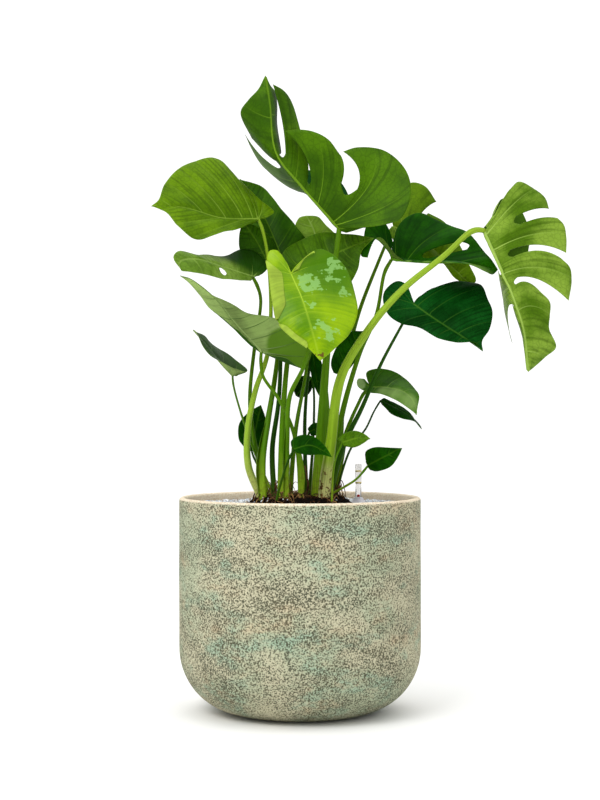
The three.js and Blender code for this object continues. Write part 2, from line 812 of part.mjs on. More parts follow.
// Lines that run like side veins from the rib to the margin, lobe after lobe, for one half.
function veinLines(half, leaf, ribCurve, ribStations, side) {
  const lines = [];
  half.forEach((lobe, lobeIndex) => {
    const isLast = lobeIndex === half.length - 1;
    const edge = lobeEdge(lobe, leaf.rib, isLast);
    const count = Math.max(2, Math.round(edge.getLength() / LINE_SPACING)) + (half.length === 1 ? 1 : 0);
    const [from, to] = lobe.ribSpan;
    const fan = from === 0 && to === 1 ? FAN_SHARE : 0;
    const control = (share, end) => {
      const reach = end.clone().sub(share.foot);
      const up = new THREE.Vector3().crossVectors(reach, share.tangent).multiplyScalar(side).normalize();
      return share.foot.clone().add(end).multiplyScalar(0.5)
        .addScaledVector(up, BLADE_CUP * reach.length())
        .addScaledVector(share.tangent, -VEIN_SWEEP * reach.length());
    };
    const footAt = (t) => {
      const station = Math.round((from + (to - from) * Math.max(0, (t - fan) / (1 - fan))) * ribStations);
      const s = station / ribStations;
      return { station, foot: ribCurve.getPointAt(s), tangent: ribCurve.getTangentAt(s) };
    };
    const pull = (point, t) => (point
      ? vector(point).sub(control(footAt(t), edge.getPointAt(t)))
      : new THREE.Vector3());
    const firstPull = pull(lobe.first, 0);
    const lastPull = pull(lobe.last, 1);
    for (let i = 0; i <= count; i += 1) {
      const t = i / count;
      const share = footAt(t);
      const end = edge.getPointAt(t);
      const middle = control(share, end)
        .addScaledVector(firstPull, (1 - t) ** 2)
        .addScaledVector(lastPull, t ** 2);
      lines.push({ ...share, curve: new THREE.QuadraticBezierCurve3(share.foot, middle, end), gap: null });
    }
    if (!isLast) lines[lines.length - 1].gap = lobe.slot ?? [lobe.split ?? UNCUT, UNCUT];
  });
  return lines;
}

// One thin sheet of triangles for the whole blade, with both halves joined along the rib.
function bladeSheet(leaf) {
  const ribCurve = smoothCurve(leaf.rib.map(vector));
  const isCut = leaf.left.length + leaf.right.length > 2;
  const steps = isCut ? CUT_STEPS : PLAIN_STEPS;
  const ribStations = Math.max(4, Math.round(ribCurve.getLength() / LINE_SPACING)) * (isCut ? 2 : 1);
  const positions = [];
  const index = [];
  for (let k = 0; k <= ribStations; k += 1) positions.push(ribCurve.getPointAt(k / ribStations));
  for (const [half, side] of [[leaf.left, -1], [leaf.right, 1]]) {
    const triangle = (a, b, c) => {
      const [p, q] = side > 0 ? [b, c] : [c, b];
      if (a !== b && b !== c && a !== c) index.push(a, p, q);
    };
    const lines = veinLines(half, leaf, ribCurve, ribStations, side);
    for (const line of lines) {
      const isTip = line === lines[lines.length - 1];
      line.row = [line.station];
      for (let q = 1; q <= steps; q += 1) {
        if (isTip) {
          line.row.push(ribStations);
        } else {
          line.row.push(positions.length);
          positions.push(line.curve.getPoint(q / steps));
        }
      }
    }
    for (let i = 0; i + 1 < lines.length; i += 1) {
      const here = lines[i].row;
      const next = lines[i + 1].row;
      const gap = lines[i].gap ?? [UNCUT, UNCUT];
      for (let k = here[0]; k < next[0]; k += 1) triangle(k, here[1], k + 1);
      triangle(next[0], here[1], next[1]);
      for (let q = 1; q < steps; q += 1) {
        const middle = (q + 0.5) / steps;
        if (middle > gap[0] && middle < gap[1]) continue;
        triangle(here[q], here[q + 1], next[q]);
        triangle(next[q], here[q + 1], next[q + 1]);
      }
    }
  }
  return { positions, index };
}

// Give the sheet its thickness: the same triangles on both faces, and a wall round every open edge.
function thicken({ positions, index }) {
  const normals = positions.map(() => new THREE.Vector3());
  const edges = new Map();
  for (let i = 0; i < index.length; i += 3) {
    const [a, b, c] = index.slice(i, i + 3);
    const face = new THREE.Vector3().crossVectors(
      positions[b].clone().sub(positions[a]), positions[c].clone().sub(positions[a]));
    for (const corner of [a, b, c]) normals[corner].add(face);
    for (const [p, q] of [[a, b], [b, c], [c, a]]) {
      if (!edges.delete(`${q},${p}`)) edges.set(`${p},${q}`, [p, q]);
    }
  }
  const count = positions.length;
  const points = [];
  for (const shift of [BLADE_THICKNESS / 2, -BLADE_THICKNESS / 2]) {
    positions.forEach((point, i) => points.push(...point.clone()
      .addScaledVector(normals[i].clone().normalize(), shift).toArray()));
  }
  const faces = [...index];
  for (let i = 0; i < index.length; i += 3) {
    faces.push(count + index[i], count + index[i + 2], count + index[i + 1]);
  }
  for (const [p, q] of edges.values()) faces.push(p, count + p, count + q, p, count + q, q);
  return indexed(points, faces);
}

// Direction out of a blade's underside at the point where its stalk joins.
function undersideAt(leaf) {
  const rib = smoothCurve(leaf.rib.map(vector));
  const tangent = rib.getTangentAt(0);
  const junction = rib.getPointAt(0);
  const middleOf = (half) => {
    const { edge } = half[Math.min(1, half.length - 1)];
    return vector(edge[Math.floor(edge.length / 2)]).sub(junction).normalize();
  };
  const up = new THREE.Vector3().crossVectors(middleOf(leaf.right), tangent).normalize();
  up.add(new THREE.Vector3().crossVectors(tangent, middleOf(leaf.left)).normalize());
  return up.normalize().negate();
}

// ---- Stalks and roots ----

// A tapered tube along a path: thick at the foot and slender where it carries its blade.
function taperedTube(points, [footRadius, tipRadius], grow) {
  const curve = smoothCurve(points);
  const steps = Math.max(3, Math.round(curve.getLength() / STALK_SPACING));
  const stations = [0, 0.5, ...Array.from({ length: steps }, (_, i) => i + 1)].map((i) => i / steps);
  const frames = curve.computeFrenetFrames(2 * steps);
  const positions = [];
  const index = [];
  stations.forEach((t, ring) => {
    const centre = curve.getPointAt(t);
    const frame = Math.round(t * 2 * steps);
    const isTip = ring === stations.length - 1;
    const share = isTip ? STALK_TIP_SHARE : 1;
    const radius = (tipRadius + (footRadius - tipRadius) * (1 - t) ** 1.5) * share + grow;
    if (ring === 0) centre.z -= grow;
    for (let side = 0; side < STALK_SIDES; side += 1) {
      const angle = (2 * Math.PI * side) / STALK_SIDES;
      const point = centre.clone()
        .addScaledVector(frames.normals[frame], radius * Math.cos(angle))
        .addScaledVector(frames.binormals[frame], radius * Math.sin(angle));
      positions.push(...point.toArray());
      const next = (side + 1) % STALK_SIDES;
      const low = ring * STALK_SIDES;
      const high = low + STALK_SIDES;
      if (!isTip) index.push(low + side, low + next, high + next, low + side, high + next, high + side);
    }
  });
  const last = (stations.length - 1) * STALK_SIDES;
  for (let side = 1; side + 1 < STALK_SIDES; side += 1) {
    index.push(0, side + 1, side, last, last + side, last + side + 1);
  }
  return indexed(positions, index);
}

// The path starts upright in the soil and then follows the points above it.
function rootedPath(points) {
  const [x, y, z] = points[0];
  return [[x, y, STALK_FOOT], [x, y, (STALK_FOOT + z) / 2], ...points].map(vector);
}

// A stalk ends just under its blade, where the rib begins.
function stalkPath(leaf) {
  const path = rootedPath(leaf.stalk);
  const junction = vector(leaf.rib[0]);
  const under = undersideAt(leaf);
  const arrival = junction.clone().sub(path[path.length - 1]).normalize();
  const tipRadius = leaf.stalkRadius[1] * STALK_TIP_SHARE;
  const tilt = Math.sqrt(Math.max(0, 1 - arrival.dot(under) ** 2));
  path.push(junction
    .addScaledVector(under, BLADE_THICKNESS / 2 + SEAT + tipRadius * tilt)
    .addScaledVector(arrival, -(leaf.setback ?? STALK_SETBACK)));
  return path;
}

// ---- Water-level gauge ----

function placed(geometry) {
  geometry.translate(GAUGE_X, GAUGE_Y, 0);
  return geometry;
}

function cylinder(radius, from, to) {
  return placed(turned([[0, from], [radius, from], [radius, to], [0, to]], GAUGE_SIDES));
}

const COLLAR_FOOT = SOIL_LEVEL + SEAT;
const SHAFT_TOP = COLLAR_FOOT - SHAFT_GAP;

function tubeGeometry() {
  const inner = TUBE_RADIUS - TUBE_WALL;
  const foot = COLLAR_FOOT + TUBE_FOOT;
  return placed(turned([
    [0, TUBE_TOP - TUBE_WALL], [inner, TUBE_TOP - TUBE_WALL], [inner, foot], [TUBE_RADIUS, foot],
    [TUBE_RADIUS, TUBE_TOP - TUBE_ROUND], [TUBE_RADIUS - TUBE_ROUND, TUBE_TOP], [0, TUBE_TOP],
  ], GAUGE_SIDES));
}

function collarGeometry() {
  const bore = TUBE_RADIUS + SEAT;
  const top = COLLAR_FOOT + COLLAR_HEIGHT;
  return placed(turned([
    [bore, COLLAR_FOOT], [COLLAR_RADIUS, COLLAR_FOOT], [COLLAR_RADIUS, COLLAR_FOOT + COLLAR_BRIM],
    [COLLAR_NECK, top], [bore, top], [bore, COLLAR_FOOT],
  ], GAUGE_SIDES));
}

function shaftGeometry() {
  const inner = SHAFT_RADIUS - SHAFT_WALL;
  const bore = ROD_RADIUS + ROD_ROOM;
  return placed(turned([
    [bore, SHAFT_BOTTOM], [SHAFT_RADIUS, SHAFT_BOTTOM], [SHAFT_RADIUS, SHAFT_TOP],
    [bore, SHAFT_TOP], [bore, SHAFT_TOP - SHAFT_END], [inner, SHAFT_TOP - SHAFT_END],
    [inner, SHAFT_BOTTOM + SHAFT_END], [bore, SHAFT_BOTTOM + SHAFT_END], [bore, SHAFT_BOTTOM],
  ], GAUGE_SIDES));
}

function floatGeometry() {
  const foot = SHAFT_BOTTOM + SHAFT_END + SEAT;
  const shoulder = foot + FLOAT_HEIGHT;
  const tipFoot = ROD_TOP - TIP_HEIGHT;
  return placed(turned([
    [0, foot], [FLOAT_RADIUS, foot], [FLOAT_RADIUS, shoulder],
    [ROD_RADIUS, shoulder + FLOAT_TAPER], [ROD_RADIUS, tipFoot],
    [TIP_RADIUS, tipFoot + TIP_TAPER], [TIP_RADIUS, ROD_TOP - TIP_ROUND], [0, ROD_TOP],
  ], GAUGE_SIDES));
}

// ---- The whole plant ----

const plant = new THREE.Group();
const foliage = new THREE.Group();
const gauge = new THREE.Group();
const soilHoles = [];

for (const leaf of LEAVES) {
  const path = stalkPath(leaf);
  foliage.add(meshOf(`leaf_${leaf.name}`, thicken(bladeSheet(leaf)), bladeMaterial(leaf.name)));
  foliage.add(meshOf(`stalk_${leaf.name}`, taperedTube(path, leaf.stalkRadius, 0),
    stalkMaterial(leaf.name)));
  soilHoles.push(toSolid(taperedTube(path, leaf.stalkRadius, SEAT)));
}
for (const root of ROOTS) {
  const path = rootedPath(root.path);
  const radii = [ROOT_RADIUS, ROOT_RADIUS / 2];
  foliage.add(meshOf(root.name, taperedTube(path, radii, 0), rootMaterial()));
  soilHoles.push(toSolid(taperedTube(path, radii, SEAT)));
}

gauge.add(meshOf('gauge_tube', tubeGeometry(), tubePlastic()));
gauge.add(meshOf('gauge_collar', collarGeometry(), collarPlastic()));
gauge.add(meshOf('gauge_shaft', shaftGeometry(), shaftPlastic()));
gauge.add(meshOf('gauge_float', floatGeometry(), floatPlastic()));
soilHoles.push(toSolid(cylinder(SHAFT_RADIUS + SEAT, SHAFT_BOTTOM - SEAT, POT_HEIGHT)));

const crustHole = toSolid(cylinder(COLLAR_RADIUS + COLLAR_ROOM, SOIL_LEVEL, POT_HEIGHT));
plant.add(meshOf('pot', potGeometry(), stoneware()));
plant.add(meshOf('soil', toGeometry(soilSolid(soilHoles)), pottingSoil()));
plant.add(meshOf('granule_crust', toGeometry(crustSolid([crustHole])), whiteGranules()));
plant.add(foliage, gauge);

export default plant;
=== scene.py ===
"""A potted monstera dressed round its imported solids: finer blades with veins, round stalks with
sheaths, stoneware, soil, white granules, roots and a water-level gauge.

Lengths in the tables are millimetres; MM turns them into the metres of the scene.
"""

import math
from types import SimpleNamespace

import bpy
import numpy as np
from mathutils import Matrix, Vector
from mathutils.bvhtree import BVHTree


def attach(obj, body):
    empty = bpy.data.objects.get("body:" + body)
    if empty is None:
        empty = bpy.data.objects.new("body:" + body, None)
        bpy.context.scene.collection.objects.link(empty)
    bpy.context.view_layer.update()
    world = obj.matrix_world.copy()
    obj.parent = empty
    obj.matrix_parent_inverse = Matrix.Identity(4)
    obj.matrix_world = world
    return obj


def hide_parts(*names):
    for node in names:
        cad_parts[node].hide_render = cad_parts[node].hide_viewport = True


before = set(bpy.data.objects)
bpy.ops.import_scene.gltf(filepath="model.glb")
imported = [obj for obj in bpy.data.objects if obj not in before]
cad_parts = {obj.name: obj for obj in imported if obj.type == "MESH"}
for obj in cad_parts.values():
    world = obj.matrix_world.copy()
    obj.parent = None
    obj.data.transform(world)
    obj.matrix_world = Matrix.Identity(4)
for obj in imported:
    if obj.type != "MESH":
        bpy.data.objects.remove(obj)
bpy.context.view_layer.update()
MM = 0.001
PLANT = "planter"  # The body that every piece rides on

# Pot, soil and crust, as in the solids
POT_RADIUS = 170
POT_HEIGHT = 301.5
POT_WALL = 9
POT_FLOOR = 12
POT_CORNER = 90
RIM_ROUND = 4.2
SOIL_LEVEL = 286.5
MOUND_HEIGHT = 15.5
MOUND_CROWN = 1
MOUND_RADIUS = 58
MOUND_FOOT = 84
CRUST_INNER = 86

# Fineness of the pot and the soil, and how much is strewn on the soil
POT_SIDES = 256
POT_UNEVENNESS = 0.35
SOIL_SIDES = 300
SOIL_RINGS = 62
SOIL_SKIRT = 40
SOIL_CRUMBS = 620
GRAIN_MARGIN = 2.5
BED_GRAINS = 3200
CRUST_GRAINS = 6400
STRAY_GRAINS = 70
STRAY_REACH = 26
FIBRES = 300
FIBRE_STEPS = 12
STREWN_SEED = 4

# Leaves, stalks and roots, as in the solids
BLADE_THICKNESS = 0.8
BLADE_CUP = 0.07
VEIN_SWEEP = 0.1
FAN_SHARE = 0.3
STALK_FOOT = 272
ROOT_RADIUS = 2.2

# Fineness of the blades and stalks
ROW_SPACING = 3.4
STATION_SPACING = 2.5
LONG_RIB = 60
COLUMNS_LONG = 20
COLUMNS_SHORT = 10
WEB_ROWS = 8
VEIN_SPACING = 30
LOBE_VEIN_SPACING = 85
THIN_STALK = 3
THIN_STALK_SIDES = 12
STALK_SIDES = 20
STALK_STEP = 5.0

# Relief of the blades: thinning at the margin, the spacing of veins that puckers a blade fully, its
# slight unevenness, the least radius of a rib and of a vein, and the folded margins
MARGIN_THINNING = 0.45
FULL_PITCH = 22
UNEVEN_HEIGHT = 0.5
UNEVEN_LENGTH = 55
RIPPLE_WAVES = 7
RIB_LEAST = 0.45
VEIN_LEAST = 0.2
FOLD_ROLL = 1.5
FOLD_HALF = 0.3
FOLD_ARC_STEPS = 7
FOLD_FLAP_STEPS = 8

# Form of the stalks: the channel up one side, the swelling below the blade (its place and width in
# radii of the tip) and the slight unevenness of them all
CHANNEL_DEPTH = 0.16
CHANNEL_HALF = 0.42
SWELLING = 0.16
SWELLING_PLACE = 6
SWELLING_WIDTH = 3.2
STALK_UNEVENNESS = 0.025
STALK_UNEVEN_LENGTH = 60

# Lumps of the soil: height, wavelength and seed; and how far each point is off at random
SOIL_LUMPS = ((1.6, 26, 11), (0.9, 9, 12))
SOIL_LUMP_SHARE = 0.7
SOIL_RANDOM = 0.7

# Marks for the finish where a sheet has no side veins of its own
PLAIN_PITCH = 20.0
PLAIN_REACH = 30.0
WEB_PITCH = 30.0

# Sheaths on the stalks
SHEATH_ROWS = 30
SHEATH_COLUMNS = 7
SHEATH_HALF = 0.4

# Gauge
GAUGE = (84, 50)
TUBE_RADIUS = 4.4
TUBE_WALL = 0.8
TUBE_TOP = 346
TUBE_SIDES = 32
COLLAR_RADIUS = 13.3
COLLAR_BRIM = 1.8
COLLAR_NECK = 6.4
COLLAR_HEIGHT = 11.5
COLLAR_SIDES = 48
GAUGE_MARKS = (319.3, 335.8)
MARK_HALF = 1
RED_TIP = 4

# Studio: metres and watts; the photo's focal length and height in pixels; the sensor in millimetres
FLOOR_HALF = 60.0
WORLD_SIDE = 0.52
WORLD_BACK = 1.15
WORLD_TOP = 1.3
KEY_POWER = 34
FILL_POWER = 3
TOP_POWER = 8
CAMERA_PLACE = (0.0, -2.5, 0.438)
FOCAL_PIXELS = 1772
IMAGE_HEIGHT = 800
SENSOR_WIDTH = 36


def lobe(edge, span=(0, 1), first=None, last=None, split=None, slot=None):
    """One stretch of a blade's margin and the share of the rib that it grows from. first and last bend
    its outer side lines; split or slot says how far the gap to the next lobe reaches."""
    return SimpleNamespace(edge=edge, span=span, first=first, last=last, split=split, slot=slot)


def leaf(name, look, radius, rib, stalk, left, right):
    """One leaf; radius is its stalk's, at the foot and at the blade."""
    return SimpleNamespace(name=name, look=look, radius=radius, rib=rib, stalk=stalk, left=left,
                           right=right)


# Every leaf: its rib from the stalk to the tip, its stalk, and the margin of each half lobe by lobe
LEAVES = [
    leaf("top_split", "mid", (10, 3.4), rib=[(54, -30, 676), (1, -45, 734), (-33, -60, 778),
         (-41, -62, 844), (-48, -52, 886)], stalk=[(24, -15, 299), (29, -20, 379), (33, -28, 445),
         (39, -34, 521), (47, -36, 612), (53, -31, 661)],
         left=[lobe([(56, -18, 689), (71, 30, 724), (47, 75, 764), (3, 70, 774)], span=(0, 0.25),
             split=0.4),
             lobe([(-13, 58, 753), (-30, 58, 759), (-43, 54, 767), (-56, 46, 779), (-67, 30, 795),
             (-77, 5, 814)], span=(0.3, 0.42), last=(-57, 30, 779), split=0.2),
             lobe([(-67, -30, 803), (-83, -42, 837), (-72, -50, 853), (-58, -54, 867)], span=(0.5, 1),
             first=(-39, -40, 771))],
         right=[lobe([(65, -32, 672), (102, -55, 681), (136, -70, 685), (152, -66, 720), (146, -52, 756),
             (117, -40, 784), (79, -35, 789), (60, -38, 783)], span=(0, 0.06), last=(112, -52, 746),
             split=0.4),
             lobe([(54, -45, 779), (40, -48, 798), (19, -52, 809), (-3, -58, 811), (-21, -62, 808)],
             span=(0.12, 0.24), first=(75, -55, 751), last=(23, -57, 774), split=0.2),
             lobe([(0, -26, 809), (-6, -28, 834), (-13, -32, 853), (-24, -42, 867), (-38, -52, 874)],
             span=(0.28, 0.46), first=(17, -38, 770), last=(-17, -44, 807), split=0.2),
             lobe([(-27, -40, 782), (-30, -30, 805), (-32, -24, 828), (-31, -24, 849), (-33, -30, 866),
             (-41, -44, 875)], span=(0.54, 1))]),
    leaf("left_broad", "soft", (6, 2.2), rib=[(-58, -30, 690), (-108, -42, 690), (-160, -58, 703),
         (-204, -68, 704)], stalk=[(-55, -5, 299), (-72, -12, 344), (-73, -16, 396), (-62, -18, 452),
         (-46, -12, 500), (-41, 0, 565), (-46, -20, 645), (-54, -28, 681)],
         left=[lobe([(-63, -36, 686), (-72, -50, 680), (-88, -62, 673), (-116, -72, 664),
             (-142, -76, 658), (-168, -74, 676), (-184, -70, 696)])],
         right=[lobe([(-52, -28, 692), (-36, -20, 701), (-66, -6, 727), (-90, 0, 754), (-122, -6, 778),
             (-163, -28, 764), (-187, -50, 737), (-195, -64, 712)])]),
    leaf("left_rear", "shade", (6.5, 2.2), rib=[(-23, 42, 636), (-43, 48, 685), (-67, 44, 731),
         (-86, 34, 754)], stalk=[(-52, -28, 300), (-53, -24, 351), (-45, -12, 409), (-35, 8, 473),
         (-27, 30, 552), (-24, 44, 617)],
         left=[lobe([(-30, 50, 632), (-55, 68, 638), (-74, 72, 670), (-80, 62, 707), (-86, 46, 734)])],
         right=[lobe([(-14, 38, 636), (10, 28, 661), (-6, 22, 686), (-27, 20, 710), (-36, 22, 724),
             (-54, 28, 742), (-71, 32, 749)])]),
    leaf("small_top", "lit", (4, 2), rib=[(27, 50, 657), (20, 55, 683), (9, 58, 704)],
         stalk=[(-14, -8, 299), (-6, 0, 396), (9, 20, 481), (20, 40, 581), (26, 52, 645)],
         left=[lobe([(17, 54, 654), (-1, 58, 668), (-7, 60, 686), (-1, 60, 701)])],
         right=[lobe([(40, 46, 659), (53, 44, 671), (37, 48, 690), (25, 56, 703)])]),
    leaf("centre", "mid", (6.5, 2.4), rib=[(4, -6, 621), (49, -2, 644), (104, -12, 665)],
         stalk=[(-26, -30, 300), (-25, -22, 382), (-21, -12, 459), (-10, -3, 551), (1, -1, 609)],
         left=[lobe([(-13, -3, 609), (-25, 0, 627), (-23, 4, 647), (-3, 12, 663), (31, 16, 675),
             (65, 5, 673)])],
         right=[lobe([(1, -10, 601), (25, -18, 589), (63, -18, 595), (81, -16, 620), (87, -14, 648)])]),
    leaf("front_bright", "bright", (4.5, 2.2), rib=[(-12, -105, 608), (3, -125, 573), (15, -140, 534),
         (27, -146, 490)], stalk=[(-19, -50, 300), (-18, -60, 383), (-14, -68, 443), (5, -78, 484),
         (14, -88, 526), (-3, -96, 585), (-11, -99, 603)],
         left=[lobe([(-4, -107, 614), (8, -108, 632), (27, -104, 642), (45, -98, 635), (63, -97, 615),
             (75, -106, 580), (77, -116, 554), (66, -128, 526), (51, -135, 511), (37, -141, 498)])],
         right=[lobe([(-18, -103, 617), (-23, -98, 632), (-31, -94, 641), (-41, -94, 641),
             (-45, -96, 632), (-40, -109, 601), (-35, -123, 567), (-29, -132, 542), (-11, -139, 523),
             (11, -143, 507)])]),
    leaf("left_edgewise", "curled", (4.5, 2.2), rib=[(-65, -40, 609), (-103, -62, 620), (-143, -85, 630),
         (-163, -97, 625), (-160, -98, 613)], stalk=[(-46, 24, 298), (-65, 18, 381), (-71, 14, 438),
         (-64, 4, 514), (-55, -18, 578), (-60, -34, 598)],
         left=[lobe([(-69, -46, 603), (-83, -62, 602), (-97, -76, 603)], span=(0, 0.42), slot=(0.4, 0.6)),
             lobe([(-106, -81, 603), (-129, -96, 609), (-147, -103, 611)], span=(0.48, 1))],
         right=[lobe([(-58, -35, 610), (-45, -12, 626), (-58, 0, 644), (-80, 0, 650), (-109, -25, 639),
             (-138, -56, 638), (-164, -82, 641), (-172, -94, 631)])]),
    leaf("left_pale", "pale", (4, 2.2), rib=[(-54, -62, 504), (-87, -85, 540), (-116, -108, 576),
         (-148, -118, 601), (-161, -119, 605)], stalk=[(1, -38, 299), (-6, -48, 383), (-28, -56, 437),
         (-51, -60, 471), (-54, -58, 493)],
         left=[lobe([(-41, -58, 501), (-19, -50, 495), (4, -40, 482), (17, -22, 514), (-11, -12, 543),
             (-42, -18, 554), (-74, -42, 560), (-112, -82, 579), (-130, -106, 587)])],
         right=[lobe([(-59, -68, 507), (-76, -95, 525), (-97, -124, 543), (-119, -136, 559),
             (-131, -130, 576)])]),
    leaf("low_left", "pale", (2.2, 1.5), rib=[(-94, -15, 472), (-109, -30, 488), (-130, -45, 514),
         (-148, -50, 535)], stalk=[(-38, 4, 300), (-60, 12, 353), (-78, 2, 403), (-91, -12, 448),
         (-94, -14, 463)],
         left=[lobe([(-89, -24, 472), (-78, -38, 478), (-96, -58, 483), (-119, -68, 496),
             (-133, -66, 512), (-141, -58, 526)])],
         right=[lobe([(-86, -5, 475), (-74, 12, 481), (-97, 18, 498), (-121, 2, 516), (-138, -30, 529)])]),
    leaf("low_dark", "deep", (2, 1.4), rib=[(-69, 35, 365), (-64, 35, 395), (-56, 40, 431)],
         stalk=[(-46, 50, 297), (-57, 42, 335), (-67, 36, 358)],
         left=[lobe([(-76, 34, 365), (-87, 30, 381), (-87, 32, 404), (-72, 37, 422)])],
         right=[lobe([(-60, 36, 364), (-49, 38, 381), (-49, 41, 408)])]),
    leaf("right_slotted", "slotted", (6, 2.4), rib=[(129, 5, 637), (183, -5, 632), (233, -15, 630),
         (277, -20, 620)], stalk=[(38, 20, 299), (48, 18, 353), (61, 14, 424), (85, 12, 505),
         (108, 12, 558), (120, 10, 619)],
         left=[lobe([(132, 12, 652), (137, 30, 679), (150, 48, 698), (172, 58, 707), (196, 52, 697),
             (219, 38, 686), (239, 24, 677), (250, 14, 664)], span=(0, 0.2), last=(195, 8, 662),
             slot=(0.2, 0.8)),
             lobe([(255, 10, 656), (261, 2, 647), (268, -10, 637)], span=(0.26, 1), first=(206, 2, 643))],
         right=[lobe([(132, 14, 661), (127, 20, 680), (118, 20, 693), (105, 16, 695), (93, 8, 683),
             (89, -2, 662), (86, -12, 640), (95, -14, 638)], span=(0, 0.03), last=(111, 8, 698),
             split=0.2),
             lobe([(147, -22, 632), (173, -44, 630), (204, -58, 627), (232, -58, 623), (255, -48, 615),
             (267, -36, 612)], span=(0.1, 1))]),
    leaf("rear_right", "soft", (6, 2.2), rib=[(135, 70, 690), (181, 60, 663), (219, 52, 628),
         (246, 47, 602)], stalk=[(30, 44, 297), (43, 48, 380), (64, 58, 481), (84, 65, 561),
         (116, 70, 644), (132, 72, 682)],
         left=[lobe([(134, 78, 706), (143, 92, 742), (164, 98, 756), (183, 96, 750), (199, 90, 727)],
             span=(0, 0.2), last=(175, 84, 718), split=0.4),
             lobe([(187, 84, 709), (212, 76, 695), (232, 66, 662), (245, 56, 631), (253, 50, 609)],
             span=(0.3, 1), first=(181, 80, 709))],
         right=[lobe([(127, 64, 681), (144, 50, 657), (178, 44, 642), (205, 44, 633), (224, 45, 612)])]),
    leaf("right_dark", "dark", (5, 2), rib=[(159, -25, 572), (181, -36, 555), (202, -46, 540),
         (226, -55, 524), (252, -60, 505)], stalk=[(42, 0, 300), (62, -6, 375), (87, -10, 427),
         (114, -12, 489), (139, -14, 536), (154, -20, 563)],
         left=[lobe([(163, -24, 578), (171, -18, 586), (191, -6, 597), (219, 2, 605), (240, 0, 603),
             (255, -8, 600), (262, -26, 579), (267, -42, 559), (262, -52, 536), (251, -59, 519)])],
         right=[lobe([(158, -23, 579), (150, -10, 600), (135, 0, 606), (119, 0, 589), (122, -14, 560),
             (142, -28, 544), (166, -42, 538), (193, -55, 522), (216, -60, 517), (241, -61, 518)])]),
    leaf("right_split", "fresh", (9, 3.6), rib=[(253, -60, 671), (270, -70, 627), (289, -76, 584),
         (306, -70, 537), (315, -55, 477)], stalk=[(33, -34, 299), (43, -48, 380), (56, -64, 468),
         (92, -76, 532), (136, -86, 585), (198, -86, 636), (233, -72, 668), (246, -64, 672)],
         left=[lobe([(261, -58, 680), (283, -48, 710), (303, -34, 742), (324, -28, 735), (341, -26, 721),
             (346, -28, 704)], span=(0, 0.05), last=(313, -46, 709), split=0.4),
             lobe([(358, -32, 691), (367, -29, 682), (371, -28, 663), (371, -31, 643)], span=(0.1, 0.2),
             first=(318, -50, 698), last=(321, -52, 666), split=0.2),
             lobe([(363, -38, 635), (376, -34, 623), (379, -33, 605), (373, -37, 576)], span=(0.26, 0.38),
             first=(322, -54, 659), last=(319, -56, 624), split=0.2),
             lobe([(333, -50, 586), (345, -48, 572), (345, -47, 556), (344, -46, 536), (355, -45, 511),
             (342, -46, 498), (328, -48, 486)], span=(0.44, 1), first=(305, -62, 614))],
         right=[lobe([(260, -46, 679), (271, -20, 696), (280, 8, 713), (286, 26, 724), (297, 40, 726),
             (318, 52, 710), (332, 58, 675), (330, 56, 647)], span=(0, 0.3), last=(297, 10, 633),
             split=0.2),
             lobe([(278, -34, 618), (283, -14, 601), (289, 0, 576), (293, 6, 551), (301, 10, 518)],
             span=(0.34, 0.5), last=(284, -30, 563), split=0.2),
             lobe([(293, -60, 569), (297, -56, 554), (304, -53, 532), (310, -52, 506)], span=(0.56, 1))]),
    leaf("low_right_broad", "banded", (5, 2.2), rib=[(101, 15, 456), (124, 0, 455), (146, -10, 449),
         (159, -14, 435), (163, -15, 417)], stalk=[(47, 28, 300), (64, 20, 387), (82, 16, 431),
         (92, 18, 449)],
         left=[lobe([(97, 18, 464), (95, 25, 478), (111, 30, 483), (131, 30, 479), (154, 20, 465),
             (167, 4, 446), (165, -6, 432)])],
         right=[lobe([(91, 17, 468), (82, 13, 468), (82, 8, 458), (96, 2, 449), (115, -8, 445),
             (134, -20, 438), (151, -24, 427)])]),
    leaf("low_right_thin", "deep", (2.2, 1.3), rib=[(115, 22, 438), (139, 15, 425), (159, 10, 413),
         (172, 5, 397)], stalk=[(51, 12, 299), (71, 14, 367), (94, 20, 398), (105, 23, 421)],
         left=[lobe([(120, 25, 441), (136, 28, 434), (155, 20, 420)])],
         right=[lobe([(117, 18, 431), (127, 5, 420), (145, 0, 411), (161, 2, 407)])]),
    leaf("small_front_right", "mid", (2, 1.3), rib=[(58, -60, 379), (77, -70, 385), (96, -78, 385)],
         stalk=[(44, -52, 300), (48, -56, 352)],
         left=[lobe([(52, -56, 384), (59, -54, 391), (74, -60, 395), (89, -73, 391)])],
         right=[lobe([(60, -64, 375), (73, -74, 373), (87, -81, 379)])]),
    leaf("small_front", "deep", (2.2, 1.5), rib=[(-8, -85, 371), (14, -95, 376), (43, -105, 361)],
         stalk=[(-32, -56, 300), (-23, -66, 335), (-14, -80, 360)],
         left=[lobe([(-12, -82, 375), (-12, -78, 382), (1, -80, 389), (19, -88, 388), (34, -98, 376)])],
         right=[lobe([(-4, -90, 366), (14, -102, 363), (30, -107, 364)])]),
    leaf("small_low_right", "deep", (2, 1.5), rib=[(94, -45, 347), (113, -60, 358), (140, -70, 372)],
         stalk=[(42, -28, 304), (60, -34, 316), (78, -40, 328)],
         left=[lobe([(91, -44, 352), (92, -42, 366), (102, -48, 372), (121, -60, 373)])],
         right=[lobe([(98, -50, 341), (109, -60, 340), (125, -70, 347), (134, -74, 361)])]),
    leaf("rear_centre", "deep", (4, 2), rib=[(55, 50, 475), (72, 50, 507), (90, 45, 537)],
         stalk=[(20, 36, 298), (37, 44, 381), (52, 51, 458)],
         left=[lobe([(49, 52, 477), (45, 55, 491), (53, 56, 516), (72, 50, 536)])],
         right=[lobe([(63, 45, 472), (79, 42, 493), (92, 42, 517)])]),
